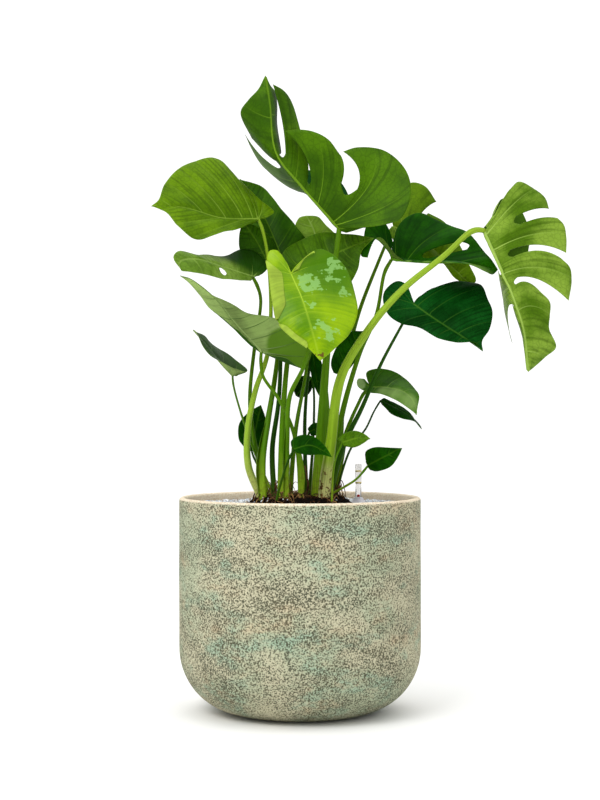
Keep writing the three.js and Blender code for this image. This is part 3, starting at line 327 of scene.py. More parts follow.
    leaf("narrow_hanging", "deep", (4, 2), rib=[(18, 20, 506), (23, 12, 473), (27, 5, 444)],
         stalk=[(9, 22, 299), (7, 24, 410), (13, 27, 481)],
         left=[lobe([(26, 18, 503), (33, 12, 483), (31, 6, 458)])],
         right=[lobe([(16, 22, 502), (14, 18, 483), (20, 9, 458)])]),
    leaf("left_shaded", "shade", (4.5, 2.2), rib=[(-43, 12, 628), (-62, 10, 663), (-81, 4, 690)],
         stalk=[(-36, -16, 299), (-39, -8, 368), (-30, -4, 438), (-28, 4, 523), (-38, 16, 606)],
         left=[lobe([(-51, 8, 622), (-71, 6, 630), (-85, 4, 650), (-86, 2, 670)])],
         right=[lobe([(-37, 15, 631), (-33, 22, 651), (-46, 24, 672), (-65, 14, 686)])]),
    leaf("rear_small", "deep", (3, 1.6), rib=[(17, 60, 471), (6, 60, 457), (-6, 58, 444)],
         stalk=[(13, 58, 298), (19, 58, 380), (20, 55, 450)],
         left=[lobe([(9, 58, 473), (-4, 56, 471), (-10, 56, 457)])],
         right=[lobe([(20, 62, 461), (13, 62, 447), (1, 60, 441)])]),
    leaf("rear_tiny", "deep", (2.5, 1.5), rib=[(13, 6, 393), (23, 4, 398), (34, 0, 404)],
         stalk=[(0, 8, 299), (6, 6, 353), (11, 7, 384)],
         left=[lobe([(11, 6, 398), (18, 4, 405), (27, 1, 406)])],
         right=[lobe([(17, 4, 387), (27, -1, 390), (32, -2, 399)])]),
]

ROOTS = {
    "root_right": [(44, -14, 299), (52, -16, 309), (58, -18, 320)],
    "root_centre": [(8, -20, 299), (11, -20, 318), (7, -18, 346)],
}

# ---- Small mathematics ----


def unit(vectors):
    """Vectors scaled to a length of 1."""
    vectors = np.asarray(vectors, float)
    return vectors / np.maximum(np.linalg.norm(vectors, axis=-1, keepdims=True), 1e-9)


def circle(sides):
    """The angles of the points of a ring."""
    return np.linspace(0, 2 * math.pi, sides, endpoint=False)


def distances(points):
    """How far along a line each of its points lies."""
    return np.concatenate([[0], np.cumsum(np.linalg.norm(np.diff(points, axis=0), axis=1))])


class Curve:
    """A centripetal Catmull-Rom curve through points, read by its share of length from 0 to 1."""

    STEPS = 60
    NEAR = 0.01

    def __init__(self, points):
        p = np.array(points, float)
        p = np.vstack([2 * p[0] - p[1], p, 2 * p[-1] - p[-2]])
        w = np.linspace(0, 1, self.STEPS, endpoint=False)[:, None]
        runs = []
        for p0, p1, p2, p3 in zip(p, p[1:], p[2:], p[3:]):
            d0, d1, d2 = (max(np.linalg.norm(b - a), 1e-6) ** 0.5
                          for a, b in ((p0, p1), (p1, p2), (p2, p3)))
            m1 = ((p1 - p0) / d0 - (p2 - p0) / (d0 + d1) + (p2 - p1) / d1) * d1
            m2 = ((p2 - p1) / d1 - (p3 - p1) / (d1 + d2) + (p3 - p2) / d2) * d1
            runs.append(p1 + m1 * w + (3 * (p2 - p1) - 2 * m1 - m2) * w ** 2
                        + (2 * (p1 - p2) + m1 + m2) * w ** 3)
        self.points = np.vstack(runs + [p[-2:-1]])
        self.reach = distances(self.points)
        self.length = self.reach[-1]

    def at(self, share):
        along = np.asarray(share, float) * self.length
        return np.stack([np.interp(along, self.reach, self.points[:, k]) for k in range(3)], -1)

    def tangent(self, share):
        share = np.asarray(share, float)
        return unit(self.at(np.minimum(share + self.NEAR, 1)) - self.at(np.maximum(share - self.NEAR, 0)))


def ripple(points, wavelength, seed):
    """A smooth repeatable unevenness between about -1 and 1 at each point, from a few plane waves."""
    rng = np.random.default_rng(seed)
    directions = unit(rng.normal(size=(RIPPLE_WAVES, 3))) * 2 * math.pi / wavelength
    directions *= rng.uniform(0.6, 1.5, (RIPPLE_WAVES, 1))
    phases = rng.uniform(0, 2 * math.pi, RIPPLE_WAVES)
    return np.sin(np.asarray(points) @ directions.T + phases).sum(-1) * (1.6 / RIPPLE_WAVES)


def put(name, data):
    """A new object in the scene."""
    thing = bpy.data.objects.new(name, data)
    bpy.context.scene.collection.objects.link(thing)
    return thing


class Body:
    """Vertices and faces of one piece while it is put together, in millimetres."""

    def __init__(self):
        self.points = []
        self.count = 0
        self.faces = []
        self.kinds = []
        self.corners = []

    def add_points(self, points):
        first = self.count
        points = np.asarray(points, float).reshape(-1, 3)
        self.points.append(points)
        self.count += len(points)
        return first

    def add_face(self, face, kind=0, corners=None):
        self.faces.append(tuple(int(i) for i in face))
        self.kinds.append(kind)
        self.corners.append(corners or [(0.0, 0.0, 0.0, 0.0)] * len(face))

    def finish(self, name, materials, slot, *nodes, smooth=True):
        """Put the piece into the scene, riding on the plant and standing for its nodes."""
        mesh = bpy.data.meshes.new(name)
        mesh.from_pydata((np.vstack(self.points) * MM).tolist(), [], self.faces)
        flat = [value for face in self.corners for corner in face for value in corner]
        values = np.array(flat, np.float32).reshape(-1, 4)
        for layer, columns in (("place", slice(0, 2)), ("size", slice(2, 4))):
            uv = mesh.uv_layers.new(name=layer)
            uv.data.foreach_set("uv", values[:, columns].ravel())
        mesh.polygons.foreach_set("material_index", np.array(self.kinds, np.int32))
        mesh.polygons.foreach_set("use_smooth", np.full(len(self.faces), smooth))
        for material in materials:
            mesh.materials.append(material)
        mesh.validate()
        mesh.update()
        piece = put(name, mesh)
        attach(piece, PLANT)
        if nodes:
            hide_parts(*nodes)


def frames_along(path):
    """Two cross directions at each point of a path, carried along it without twisting."""
    ahead = unit(np.gradient(path, axis=0))
    side = unit(np.cross(ahead[0], (0.3, 1.0, 0.1)))
    sides = []
    for direction in ahead:
        side = unit(side - direction * (side @ direction))
        sides.append(side)
    sides = np.array(sides)
    return sides, np.cross(ahead, sides)


def around(first, count, sides, closed=False):
    """The faces between rings of points, each after the ring and the side that it starts from."""
    for ring in range(count if closed else count - 1):
        low, high = first + ring * sides, first + (ring + 1) % count * sides
        for side in range(sides):
            after = (side + 1) % sides
            yield ring, side, (low + side, low + after, high + after, high + side)


def add_ends(body, first, count, sides, kind=0, marks=(None, None)):
    """A face on the first ring and one on the last."""
    last = first + (count - 1) * sides
    body.add_face([first + side for side in reversed(range(sides))], kind, marks[0])
    body.add_face([last + side for side in range(sides)], kind, marks[1])


def add_rings(body, rings, kind=0, closed=False):
    """A skin through rings of points, with a face at each end unless the rings close on themselves."""
    count, sides = len(rings), len(rings[0])
    first = body.add_points(rings)
    for _, _, face in around(first, count, sides, closed):
        body.add_face(face, kind)
    if not closed:
        add_ends(body, first, count, sides, kind)


def add_tube(body, path, radii, sides, kind=0, profile=None, along=None):
    """A closed tube round a path. profile(angles, share) scales each ring's radius, and along stands
    for the distances along the path in the marks for the finish."""
    across, up = frames_along(path)
    angles = circle(sides)
    share = np.linspace(0, 1, len(path))
    scale = np.ones((len(path), sides)) if profile is None else profile(angles[None, :], share[:, None])
    rings = (path[:, None, :] + (radii[:, None] * scale)[..., None]
             * (np.cos(angles)[None, :, None] * across[:, None, :]
                + np.sin(angles)[None, :, None] * up[:, None, :]))
    first = body.add_points(rings)
    lengths = distances(path) if along is None else along
    for ring, side, face in around(first, len(path), sides):
        start, end = side / sides, (side + 1) / sides
        a, b = lengths[ring], lengths[ring + 1]
        r0, r1 = radii[ring], radii[ring + 1]
        body.add_face(face, kind, [(start, a, r0, a), (end, a, r0, a), (end, b, r1, b), (start, b, r1, b)])
    add_ends(body, first, len(path), sides, kind,
             [[(0.5, lengths[k], radii[k], lengths[k])] * sides for k in (0, -1)])


def add_layers(body, upper, lower, rows, columns, marks_at, kinds=(0, 0), flip=False):
    """The faces of two grids of points that lie over each other, seen from above and from below."""
    for r in range(rows - 1):
        for c in range(columns - 1):
            a, b = r * columns + c, (r + 1) * columns + c
            quad = (a, a + 1, b + 1, b)
            marks = [marks_at(r, c), marks_at(r, c + 1), marks_at(r + 1, c + 1), marks_at(r + 1, c)]
            if flip:
                quad, marks = quad[::-1], marks[::-1]
            body.add_face([upper + i for i in quad], kinds[0], marks)
            body.add_face([lower + i for i in reversed(quad)], kinds[1], marks[::-1])


# ---- Blades ----


def lobe_rows(item, part, is_last, rib, side, q):
    """Rows of points from the rib to the margin over one lobe, with what the finish needs."""
    edge = Curve(part.edge + ([item.rib[-1]] if is_last else []))
    is_whole = part.span == (0, 1)
    veins = max(1, round(edge.length / (VEIN_SPACING if is_whole else LOBE_VEIN_SPACING)))
    per_vein = 2 * max(1, round(edge.length / veins / ROW_SPACING / 2))
    t = np.linspace(0, 1, veins * per_vein + 1)
    start, stop = part.span
    fan = FAN_SHARE if is_whole else 0

    def lines_at(t):
        """Share of the rib, foot and end of each side line, and the rib's direction at its foot."""
        station = start + (stop - start) * np.maximum(0, (t - fan) / (1 - fan)) ** SWEEPS.get(item.name, 1)
        return station, rib.at(station), edge.at(t), rib.tangent(station)

    def handle(foot, end, tangent):
        """The point that bends a side line: above its middle and set back along the rib."""
        reach = end - foot
        length = np.linalg.norm(reach, axis=-1, keepdims=True)
        up = unit(np.cross(reach, tangent)) * side
        return (foot + end) / 2 + up * BLADE_CUP * length - tangent * VEIN_SWEEP * length

    station, foot, end, tangent = lines_at(t)
    middle = handle(foot, end, tangent)
    for point, where, weight in ((part.first, 0.0, (1 - t) ** 2), (part.last, 1.0, t ** 2)):
        if point is not None:
            pull = np.array(point, float) - handle(*lines_at(np.array([where]))[1:])[0]
            middle = middle + pull * weight[:, None]
    w = q[None, :, None]
    points = (1 - w) ** 2 * foot[:, None] + 2 * w * (1 - w) * middle[:, None] + w ** 2 * end[:, None]
    reach = np.linalg.norm(np.diff(points, axis=1), axis=2).sum(1)
    pitch = np.linalg.norm(np.gradient(points, axis=0), axis=2) * per_vein
    return SimpleNamespace(points=points, station=station, veins=veins, per_vein=per_vein,
                           v=t * veins, reach=reach, pitch=pitch)


MEASURES = ("points", "q", "v", "reach", "pitch")


def blade_sheet(item):
    """Both halves of a blade as one sheet joined along the rib, whose own points come first. Each point
    has its share q of the way to the margin, its place v among the side veins (halfway between whole
    numbers on a vein), the reach of its side line and the pitch between veins."""
    rib = Curve(item.rib)
    columns = COLUMNS_LONG if rib.length > LONG_RIB else COLUMNS_SHORT
    q = np.linspace(0, 1, columns + 1)
    stations = max(8, round(rib.length / STATION_SPACING))
    count = stations + 1
    sheet = SimpleNamespace(points=[rib.at(k / stations) for k in range(count)], q=[0.0] * count,
                            v=[0.0] * count, reach=[PLAIN_REACH] * count, pitch=[PLAIN_PITCH] * count,
                            faces=[], corners=[], veins=[], rows={}, stations=stations)

    def vertex(*values):
        for name, value in zip(MEASURES, values):
            getattr(sheet, name).append(value)
        return len(sheet.points) - 1

    def face(ids, side):
        """One face; its points on the rib take the mean measures of its other points."""
        kept = [i for k, i in enumerate(ids) if i != ids[k - 1]]
        if len(set(kept)) < 3 or -1 in kept:
            return
        if side < 0:
            kept = kept[::-1]
        others = [i for i in kept if i > stations] or kept
        v, pitch, reach = ([values[i] if i > stations else np.mean([values[j] for j in others])
                            for i in kept] for values in (sheet.v, sheet.pitch, sheet.reach))
        sheet.faces.append(kept)
        sheet.corners.append([(v[k], sheet.q[i], pitch[k], reach[k]) for k, i in enumerate(kept)])

    def web(before, opened, grid, base):
        """Rows that join two lobes: inside their split, or on both sides of their slot."""
        low = round((opened.slot[0] if opened.slot else opened.split) * columns)
        a, b = before.points[-1], grid.points[0]
        width = np.linalg.norm(a - b, axis=1)
        reach = max(1.0, (before.reach[-1] + grid.reach[0]) / 2)
        for k in range(1, WEB_ROWS):
            w = k / WEB_ROWS
            dip = math.sin(math.pi * w)
            inner = q[low] - dip * min(0.45 * q[low], 0.5 * width[low] / reach)
            wanted = [(j, inner * j / low) for j in range(1, low + 1)]
            if opened.slot:
                high = round(opened.slot[1] * columns)
                outer = q[high] + dip * min(0.4 * (1 - q[high]), 0.5 * width[high] / reach)
                wanted += [(j, outer + (1 - outer) * (j - high) / (columns - high))
                           for j in range(high, columns + 1)]
            ids = [-1] * (columns + 1)
            for j, q_here in wanted:
                point = [(1 - w) * np.interp(q_here, q, a[:, c]) + w * np.interp(q_here, q, b[:, c])
                         for c in range(3)]
                ids[j] = vertex(np.array(point), q_here, float(base), reach, WEB_PITCH)
            yield (1 - w) * before.station[-1] + w * grid.station[0], ids

    for half, side in ((item.left, -1), (item.right, 1)):
        rows = []
        base = 0
        earlier = None
        for part in half:
            is_last = part is half[-1]
            grid = lobe_rows(item, part, is_last, rib, side, q)
            if earlier is not None:
                rows.extend(web(*earlier, grid, base))
            for i in range(len(grid.v)):
                is_tip = is_last and i == len(grid.v) - 1
                ids = [-1] + [stations if is_tip else vertex(grid.points[i, j], q[j], base + grid.v[i],
                                                             grid.reach[i], grid.pitch[i, j])
                              for j in range(1, columns + 1)]
                rows.append((grid.station[i], ids))
                if (i % grid.per_vein) * 2 == grid.per_vein and not is_tip:
                    sheet.veins.append([round(grid.station[i] * stations)] + ids[1:])
            base += grid.veins
            earlier = (grid, part)
        sheet.rows[side] = [ids[1:] for _, ids in rows if -1 not in ids[1:] and ids[-1] > stations]
        # Faces from the rib's own points to the first column, then from column to column
        here = 0
        for (_, ids), (station, following) in zip(rows, rows[1:]):
            target = min(stations, round(station * stations))
            while here < target:
                face([here, ids[1], here + 1], side)
                here += 1
            face([here, ids[1], following[1]], side)
            for j in range(1, columns):
                quad = [ids[j], ids[j + 1], following[j + 1], following[j]]
                if -1 not in quad:
                    face(quad, side)
        while here < stations:
            face([here, rows[-1][1][1], here + 1], side)
            here += 1
    for name in MEASURES:
        setattr(sheet, name, np.array(getattr(sheet, name), float))
    return sheet


def sheet_normals(points, faces):
    """The mean direction of the faces round each point."""
    normals = np.zeros_like(points)
    for face in faces:
        a, b, c = points[face[0]], points[face[1]], points[face[2]]
        normal = np.cross(b - a, c - a)
        if len(face) == 4:
            normal = normal + np.cross(c - a, points[face[3]] - a)
        for corner in face:
            normals[corner] += normal
    return unit(normals)


def shape_sheet(sheet, look, seed):
    """Pucker the blade between its side veins, wave its margin and make it slightly uneven."""
    normals = sheet_normals(sheet.points, sheet.faces)
    on_line = np.abs(np.cos(math.pi * sheet.v)) ** 0.7
    envelope = np.clip(sheet.q * 4, 0, 1) * (1 - 0.75 * sheet.q)
    lift = look.pucker * np.minimum(1, sheet.pitch / FULL_PITCH) * envelope * on_line
    lift += look.wave * sheet.q ** 3 * np.sin(math.pi * sheet.v * 0.9 + seed)
    lift += UNEVEN_HEIGHT * sheet.q * ripple(sheet.points, UNEVEN_LENGTH, seed)
    lift[:sheet.stations + 1] = 0
    sheet.points = sheet.points + normals * lift[:, None]
    sheet.normals = sheet_normals(sheet.points, sheet.faces)


def add_fold(body, sheet, side, start, stop, width):
    """Part of one half's margin rolled over the upper face, between two places of it (x, z)."""
    rows = sheet.rows[side]
    margin = sheet.points[[ids[-1] for ids in rows]][:, [0, 2]]
    ends = sorted(int(np.argmin(np.linalg.norm(margin - place, axis=1))) for place in (start, stop))
    rows = rows[ends[0]:ends[1] + 1]
    grow = np.linspace(0, 1, len(rows))
    reach = width * np.minimum(1, 5 * grow + 0.05) ** 0.7 * np.minimum(1, 7 * (1 - grow) + 0.05) ** 0.7
    grid = []
    for ids, length in zip(rows, reach):
        line, up = sheet.points[ids[::-1]], sheet.normals[ids[::-1]]
        inward = distances(line)
        out = unit(line[0] - line[1])
        strip = [line[0] + up[0] * FOLD_ROLL * (1 + math.sin(a)) + out * FOLD_ROLL * math.cos(a)
                 for a in np.linspace(-math.pi / 2, math.pi / 2, FOLD_ARC_STEPS)]
        for share in np.linspace(0.12, 1, FOLD_FLAP_STEPS):
            spot, lift = ([np.interp(share * length, inward, values[:, k]) for k in range(3)]
                          for values in (line, up))
            strip.append(np.array(spot) + np.array(lift) * FOLD_ROLL * (2 - 1.3 * share ** 2))
        grid.append(strip)
    grid = np.array(grid)
    # The way out of the flap, taken from the blade under the middle of it
    across = unit(np.cross(np.gradient(grid, axis=0), np.gradient(grid, axis=1)))
    centre = len(rows) // 2
    across *= np.sign((across[centre, FOLD_ARC_STEPS + 2] * sheet.normals[rows[centre][-4]]).sum())
    columns = grid.shape[1]
    outer = body.add_points(grid + across * FOLD_HALF)
    inner = body.add_points(grid - across * FOLD_HALF)

    def marks_at(r, c):
        return (sheet.v[rows[r][-1]], 0.9 - 0.04 * c, PLAIN_PITCH, PLAIN_REACH)

    add_layers(body, outer, inner, len(rows), columns, marks_at, kinds=(1, 0), flip=side < 0)
    border = [(r, 0) for r in range(len(rows))] + [(len(rows) - 1, c) for c in range(1, columns)]
    border += [(r, columns - 1) for r in reversed(range(len(rows) - 1))]
    border += [(0, c) for c in reversed(range(1, columns - 1))]
    for (r0, c0), (r1, c1) in zip(border, border[1:] + border[:1]):
        a, b = r0 * columns + c0, r1 * columns + c1
        body.add_face((outer + a, inner + a, inner + b, outer + b), 1, [marks_at(r0, c0)] * 4)


def make_blade(item, number):
    """A leaf's blade: two faces joined along every open edge, its ribs and its folded margins."""
    look = LOOKS[item.look]
    sheet = blade_sheet(item)
    shape_sheet(sheet, look, number + 1)
    body = Body()
    count = len(sheet.points)
    thin = BLADE_THICKNESS / 2 * (1 - MARGIN_THINNING * sheet.q ** 4)
    body.add_points(sheet.points + sheet.normals * thin[:, None])
    body.add_points(sheet.points - sheet.normals * thin[:, None])
    border = {}
    for face, corners in zip(sheet.faces, sheet.corners):
        body.add_face(face, 0, corners)
        body.add_face([count + i for i in reversed(face)], 1, corners[::-1])
        for k, a in enumerate(face):
            b = face[(k + 1) % len(face)]
            if (b, a) in border:
                del border[(b, a)]
            else:
                border[(a, b)] = (corners[k], corners[(k + 1) % len(face)])
    for (a, b), (ca, cb) in border.items():
        body.add_face((b, a, count + a, count + b), 0, [cb, ca, ca, cb])
    add_rib(body, sheet, item)
    for side, start, stop, width in FOLDS.get(item.name, ()):
        add_fold(body, sheet, side, start, stop, width)
    body.finish(f"blade_{item.name}", look.materials, look.slot, f"leaf_{item.name}")


def add_rib(body, sheet, item):
    """The midrib and the side veins, standing out below the blade and a little above it."""
    share = np.linspace(0, 1, sheet.stations + 1)
    radii = RIB_LEAST + (0.8 * item.radius[1] - RIB_LEAST) * (1 - share) ** 1.3
    normals = sheet.normals[:sheet.stations + 1]
    path = sheet.points[:sheet.stations + 1] - normals * (radii * 0.55)[:, None]
    add_tube(body, path, radii, 8, kind=2)
    for ids in sheet.veins:
        share = np.linspace(0, 1, len(ids))
        thickness = VEIN_LEAST + 0.42 * radii[ids[0]] * (1 - share) ** 0.8
        path = sheet.points[ids] - sheet.normals[ids] * (thickness * 0.35)[:, None]
        add_tube(body, path[:-1], thickness[:-1], 6, kind=2)


# ---- Stalks, sheaths and roots ----


def underside_at(item):
    """Direction out of a blade's underside where its stalk joins."""
    rib = Curve(item.rib)
    tangent = rib.tangent(0.0)
    junction = rib.at(0.0)

    def middle_of(half):
        edge = half[min(1, len(half) - 1)].edge
        return unit(np.array(edge[len(edge) // 2], float) - junction)

    up = unit(np.cross(middle_of(item.right), tangent)) + unit(np.cross(tangent, middle_of(item.left)))
    return -unit(up)


def rooted(points):
    """The points of a stem, carried straight down into the soil below its first one."""
    x, y, z = points[0]
    return [(x, y, STALK_FOOT), (x, y, (STALK_FOOT + z) / 2)] + points


def stalk_path(item):
    """The line of a stalk from the soil to the underside of its blade."""
    end = np.array(item.rib[0], float) + underside_at(item) * 0.45 * item.radius[1]
    return Curve(rooted(item.stalk) + [tuple(end)])


def stalk_profile(seed):
    """Slightly out of round, with a shallow channel up one side that fades near the blade."""
    rng = np.random.default_rng(seed)
    channel = rng.uniform(0, 2 * math.pi)
    phases = rng.uniform(0, 2 * math.pi, 2)

    def profile(angles, share):
        turn = np.angle(np.exp(1j * (angles - channel)))
        dent = CHANNEL_DEPTH * np.exp(-(turn / CHANNEL_HALF) ** 2) * np.clip(1.2 - share * 1.3, 0, 1)
        wobble = 0.03 * np.sin(2 * angles + phases[0] + 5 * share) + 0.015 * np.sin(3 * angles + phases[1])
        return 1 - dent + wobble

    return profile


def make_stalk(item, number):
    """A leaf's stalk, thicker at its foot and in the joint below its blade, with its sheaths."""
    curve = stalk_path(item)
    steps = max(8, round(curve.length / STALK_STEP))
    share = np.linspace(0, 1, steps + 1)
    path = curve.at(share)
    foot, tip = item.radius
    radii = tip + (foot - tip) * (1 - share) ** 1.5
    from_tip = (1 - share) * curve.length
    from_swelling = (from_tip - SWELLING_PLACE * tip) / (SWELLING_WIDTH * tip)
    radii *= 1 + SWELLING * np.exp(-from_swelling ** 2)
    radii *= 1 + STALK_UNEVENNESS * ripple(path, STALK_UNEVEN_LENGTH, number + 50)
    body = Body()
    add_tube(body, path, radii, STALK_SIDES if foot > THIN_STALK else THIN_STALK_SIDES,
             profile=stalk_profile(number), along=share * curve.length)
    for start, stop, heading, width in SHEATHS.get(item.name, ()):
        add_sheath(body, curve, item.radius, start, stop, heading, width)
    kind = STALK_LOOKS.get(item.name, "stalk_green")
    body.finish(f"petiole_{item.name}", [STALK_FINISHES[kind]], STALK_SLOTS.get(kind, kind),
                f"stalk_{item.name}")


def add_sheath(body, curve, radius, start, stop, heading, width):
    """A thin wing along a stalk, turned to a heading in degrees (0 right, -90 to the front), that
    widens upwards and ends in a free pointed tip."""
    foot, tip = radius
    rows, columns = SHEATH_ROWS, SHEATH_COLUMNS
    share = np.linspace(start, stop, rows)
    path = curve.at(share)
    ahead = curve.tangent(share)
    grow = np.linspace(0, 1, rows)
    reach = width * np.minimum(1, grow * 2.2 + 0.1) * (1 - grow ** 5)
    base = (tip + (foot - tip) * (1 - share) ** 1.5) * 0.85
    layers = []
    for lift in (SHEATH_HALF, -SHEATH_HALF):
        lines = []
        for s in np.linspace(0, 1, columns):
            angle = math.radians(heading) - 0.5 + s
            level = [math.cos(angle), math.sin(angle), 0]
            radial = unit(np.array(level) - ahead * (ahead @ level)[:, None])
            sideways = unit(np.cross(ahead, radial))
            lines.append(path + radial * (base + s * reach)[:, None] + sideways * (lift * (1 - 0.5 * s))
                         + ahead * (grow ** 4 * s * width * 1.6)[:, None])
        layers.append(body.add_points(np.stack(lines, 1)))
    first, second = layers
    lengths = share * curve.length

    def marks_at(r, c):
        return (c / columns, lengths[r], 3.0, lengths[r])

    add_layers(body, first, second, rows, columns, marks_at)
    edges = [(r, c, columns, c == 0) for r in range(rows - 1) for c in (0, columns - 1)]
    edges += [(r, c, 1, r == 0) for r in (0, rows - 1) for c in range(columns - 1)]
    for r, c, step, flip in edges:
        a = r * columns + c
        quad = (first + a, first + a + step, second + a + step, second + a)
        body.add_face(quad[::-1] if flip else quad, 0, [marks_at(r, c)] * 4)


# ---- Finishes ----


def srgb(red, green, blue):
    """A colour given as it looks on screen, 0 to 255, as linear light."""
    values = [c / 255 for c in (red, green, blue)]
    return tuple(c / 12.92 if c <= 0.04045 else ((c + 0.055) / 1.055) ** 2.4 for c in values) + (1.0,)


def dimmed(colour, share):
    return tuple(share * c for c in colour)


def join(tree, value, socket):
    """Link a socket to another one, or set it where the value is a plain one."""
    if isinstance(value, bpy.types.NodeSocket):
        tree.links.new(value, socket)
    else:
        socket.default_value = value


class Finish:
    """One procedural material: a Principled surface and the nodes that feed it."""

    def __init__(self, name, **sockets):
        self.material = bpy.data.materials.new(name)
        self.material.use_nodes = True
        self.tree = self.material.node_tree
        self.surface = self.tree.nodes["Principled BSDF"]
        for key, value in sockets.items():
            socket = key.replace("_", " ").title().replace("Ior", "IOR")
            self.surface.inputs[socket].default_value = value

    def node(self, kind, inputs=(), **settings):
        """A node with its settings, and with values or links for its inputs."""
        node = self.tree.nodes.new(kind)
        for setting, value in settings.items():
            setattr(node, setting, value)
        for key, value in dict(inputs).items():
            join(self.tree, value, node.inputs[key])
        return node

    def math(self, operation, *values):
        return self.node("ShaderNodeMath", enumerate(values), operation=operation).outputs[0]

    def times(self, first, second):
        return self.math("MULTIPLY", first, second)

    def linear(self, value, scale, shift):
        return self.math("MULTIPLY_ADD", value, scale, shift)

    def mix(self, share, first, second):
        """Colours mixed; each is a socket or three numbers from 0 to 255."""
        first, second = (value if isinstance(value, bpy.types.NodeSocket) else srgb(*value)
                         for value in (first, second))
        return self.node("ShaderNodeMix", {0: share, 6: first, 7: second}, data_type="RGBA").outputs[2]

    def step(self, low, high, value):
        """A smooth rise from 0 at low to 1 at high, or a fall from 1 to 0 where low is the higher."""
        falls = low > high
        inputs = {0: value, 1: min(low, high), 2: max(low, high), 3: float(falls), 4: float(not falls)}
        return self.node("ShaderNodeMapRange", inputs, interpolation_type="SMOOTHSTEP").outputs[0]

    def place(self):
        return self.node("ShaderNodeTexCoord").outputs["Object"]

    def split(self, vector):
        return self.node("ShaderNodeSeparateXYZ", {0: vector}).outputs

    def uv(self, layer):
        return self.split(self.node("ShaderNodeUVMap", uv_map=layer).outputs[0])[:2]

    def vector(self, x, y, z=0.0):
        return self.node("ShaderNodeCombineXYZ", {0: x, 1: y, 2: z}).outputs[0]

    def stretched(self, vector, scale):
        return self.node("ShaderNodeMapping", {0: vector, 3: scale}).outputs[0]

    def noise(self, scale, vector=None, detail=3.0, rough=0.5):
        vector = self.place() if vector is None else vector
        return self.node("ShaderNodeTexNoise", {0: vector, 2: scale, 3: detail, 4: rough}).outputs["Fac"]

    def threads(self, scale):
        """Distance to the nearest thread of an irregular net."""
        return self.node("ShaderNodeTexVoronoi", {"Scale": scale, "Vector": self.place()},
                         feature="DISTANCE_TO_EDGE").outputs["Distance"]

    def bumps(self, *heights):
        """Relief from pairs of a height and its size in millimetres."""
        inputs = {}
        for height, size in heights:
            node = self.node("ShaderNodeBump", {"Distance": size * MM, "Height": height, **inputs})
            inputs = {"Normal": node.outputs[0]}
        join(self.tree, node.outputs[0], self.surface.inputs["Normal"])

    def colour(self, value):
        join(self.tree, value, self.surface.inputs["Base Color"])

    def roughness(self, value):
        join(self.tree, value, self.surface.inputs["Roughness"])


def blade_finish(name, deep, fresh, vein, gloss, lines, veins, specular, lumps=0.0, seed=0.0, spots=()):
    """One face of a blade: darker and lighter green in soft clouds, thin darker lines along the side veins,
    a net of fine ones, pale veins that fade towards the margin, and spots round given places, which are
    painted shade, painted highlights and painted reflections as well as the leaf's own marks."""
    f = Finish(name, specular_ior_level=specular)
    v, q = f.uv("place")
    pitch, reach = f.uv("size")
    off_vein = f.times(f.math("ABSOLUTE", f.math("SUBTRACT", f.math("FRACT", v), 0.5)), pitch)
    to_margin = f.math("SUBTRACT", 1.0, q)
    on_vein = f.times(f.step(1.1, 0.2, off_vein), f.linear(f.math("POWER", to_margin, 1.3), 0.85, 0.15))
    on_rib = f.step(2.4, 0.5, f.times(q, reach))
    on_margin = f.step(1.1, 0.3, f.times(to_margin, reach))
    thread = f.noise(1.0, f.vector(f.times(v, 9.0), f.times(q, 0.9), seed), detail=2.0)
    patch = f.noise(48.0, detail=3.0)
    clouds = f.linear(thread, 0.25, f.linear(patch, 0.3, f.noise(15.0, detail=2.0)))
    green = f.mix(f.step(0.6, 0.94, clouds), deep, fresh)
    green = f.mix(f.times(f.step(0.47, 0.36, thread), lines), green, dimmed(deep, 0.72))
    green = f.mix(f.times(f.step(0.1, 0.02, f.threads(135.0)), 0.7 * lines), green, dimmed(deep, 0.66))
    green = f.mix(f.times(f.math("MAXIMUM", on_vein, on_rib), veins), green, vein)
    green = f.mix(f.times(on_margin, 0.35), green, vein)
    for place, near, far, share, tint, *rag in spots:
        gap = f.node("ShaderNodeVectorMath", {0: f.place(), 1: tuple(c * MM for c in place)},
                     operation="DISTANCE").outputs["Value"]
        mask = f.step(far * MM, near * MM, gap)
        if rag:
            scale, cut = rag
            level = f.linear(f.noise(scale, detail=4.0, rough=0.55), 0.85, f.times(thread, 0.3))
            mask = f.step(cut + 0.3, cut + 0.33, f.linear(mask, 0.3, level))
        green = f.mix(f.times(mask, share), green, tint)
    f.colour(green)
    f.roughness(f.linear(patch, 0.14, gloss - 0.07))
    heights = [(thread, 0.8 * lines), (patch, 0.6)]
    if lumps:
        heights.append((f.noise(60.0, detail=2.0), lumps))
    f.bumps(*heights)
    return f.material


def rib_finish(name, fresh, vein, specular):
    """Midrib and side veins, paler where they are thick."""
    f = Finish(name, specular_ior_level=specular)
    radius, _ = f.uv("size")
    streak = f.noise(140.0, detail=2.0)
    f.colour(f.mix(f.linear(streak, 0.2, f.times(f.step(0.35, 1.3, radius), 0.75)), fresh, vein))
    f.roughness(f.linear(streak, 0.2, 0.36))
    f.bumps((f.noise(420.0), 0.12))
    return f.material


def look(slot, deep, fresh, vein, under, gloss=0.5, lines=0.35, veins=0.5, specular=0.06, lumps=0.0,
         pucker=1.6, wave=1.2, spots=(), under_spots=()):
    """The finish of one kind of blade: its upper face, its underside and its veins."""
    name = f"{slot}_{len(bpy.data.materials)}"
    materials = [
        blade_finish(name + "_upper", deep, fresh, vein, gloss, lines, veins, specular, lumps, spots=spots),
        blade_finish(name + "_under", dimmed(under, 0.8), under, vein, 0.6, lines, 0.6 * veins,
                     specular=0.0, seed=7.0, spots=under_spots),
        rib_finish(name + "_rib", fresh, vein, specular),
    ]
    return SimpleNamespace(slot=slot, materials=materials, pucker=pucker, wave=wave)
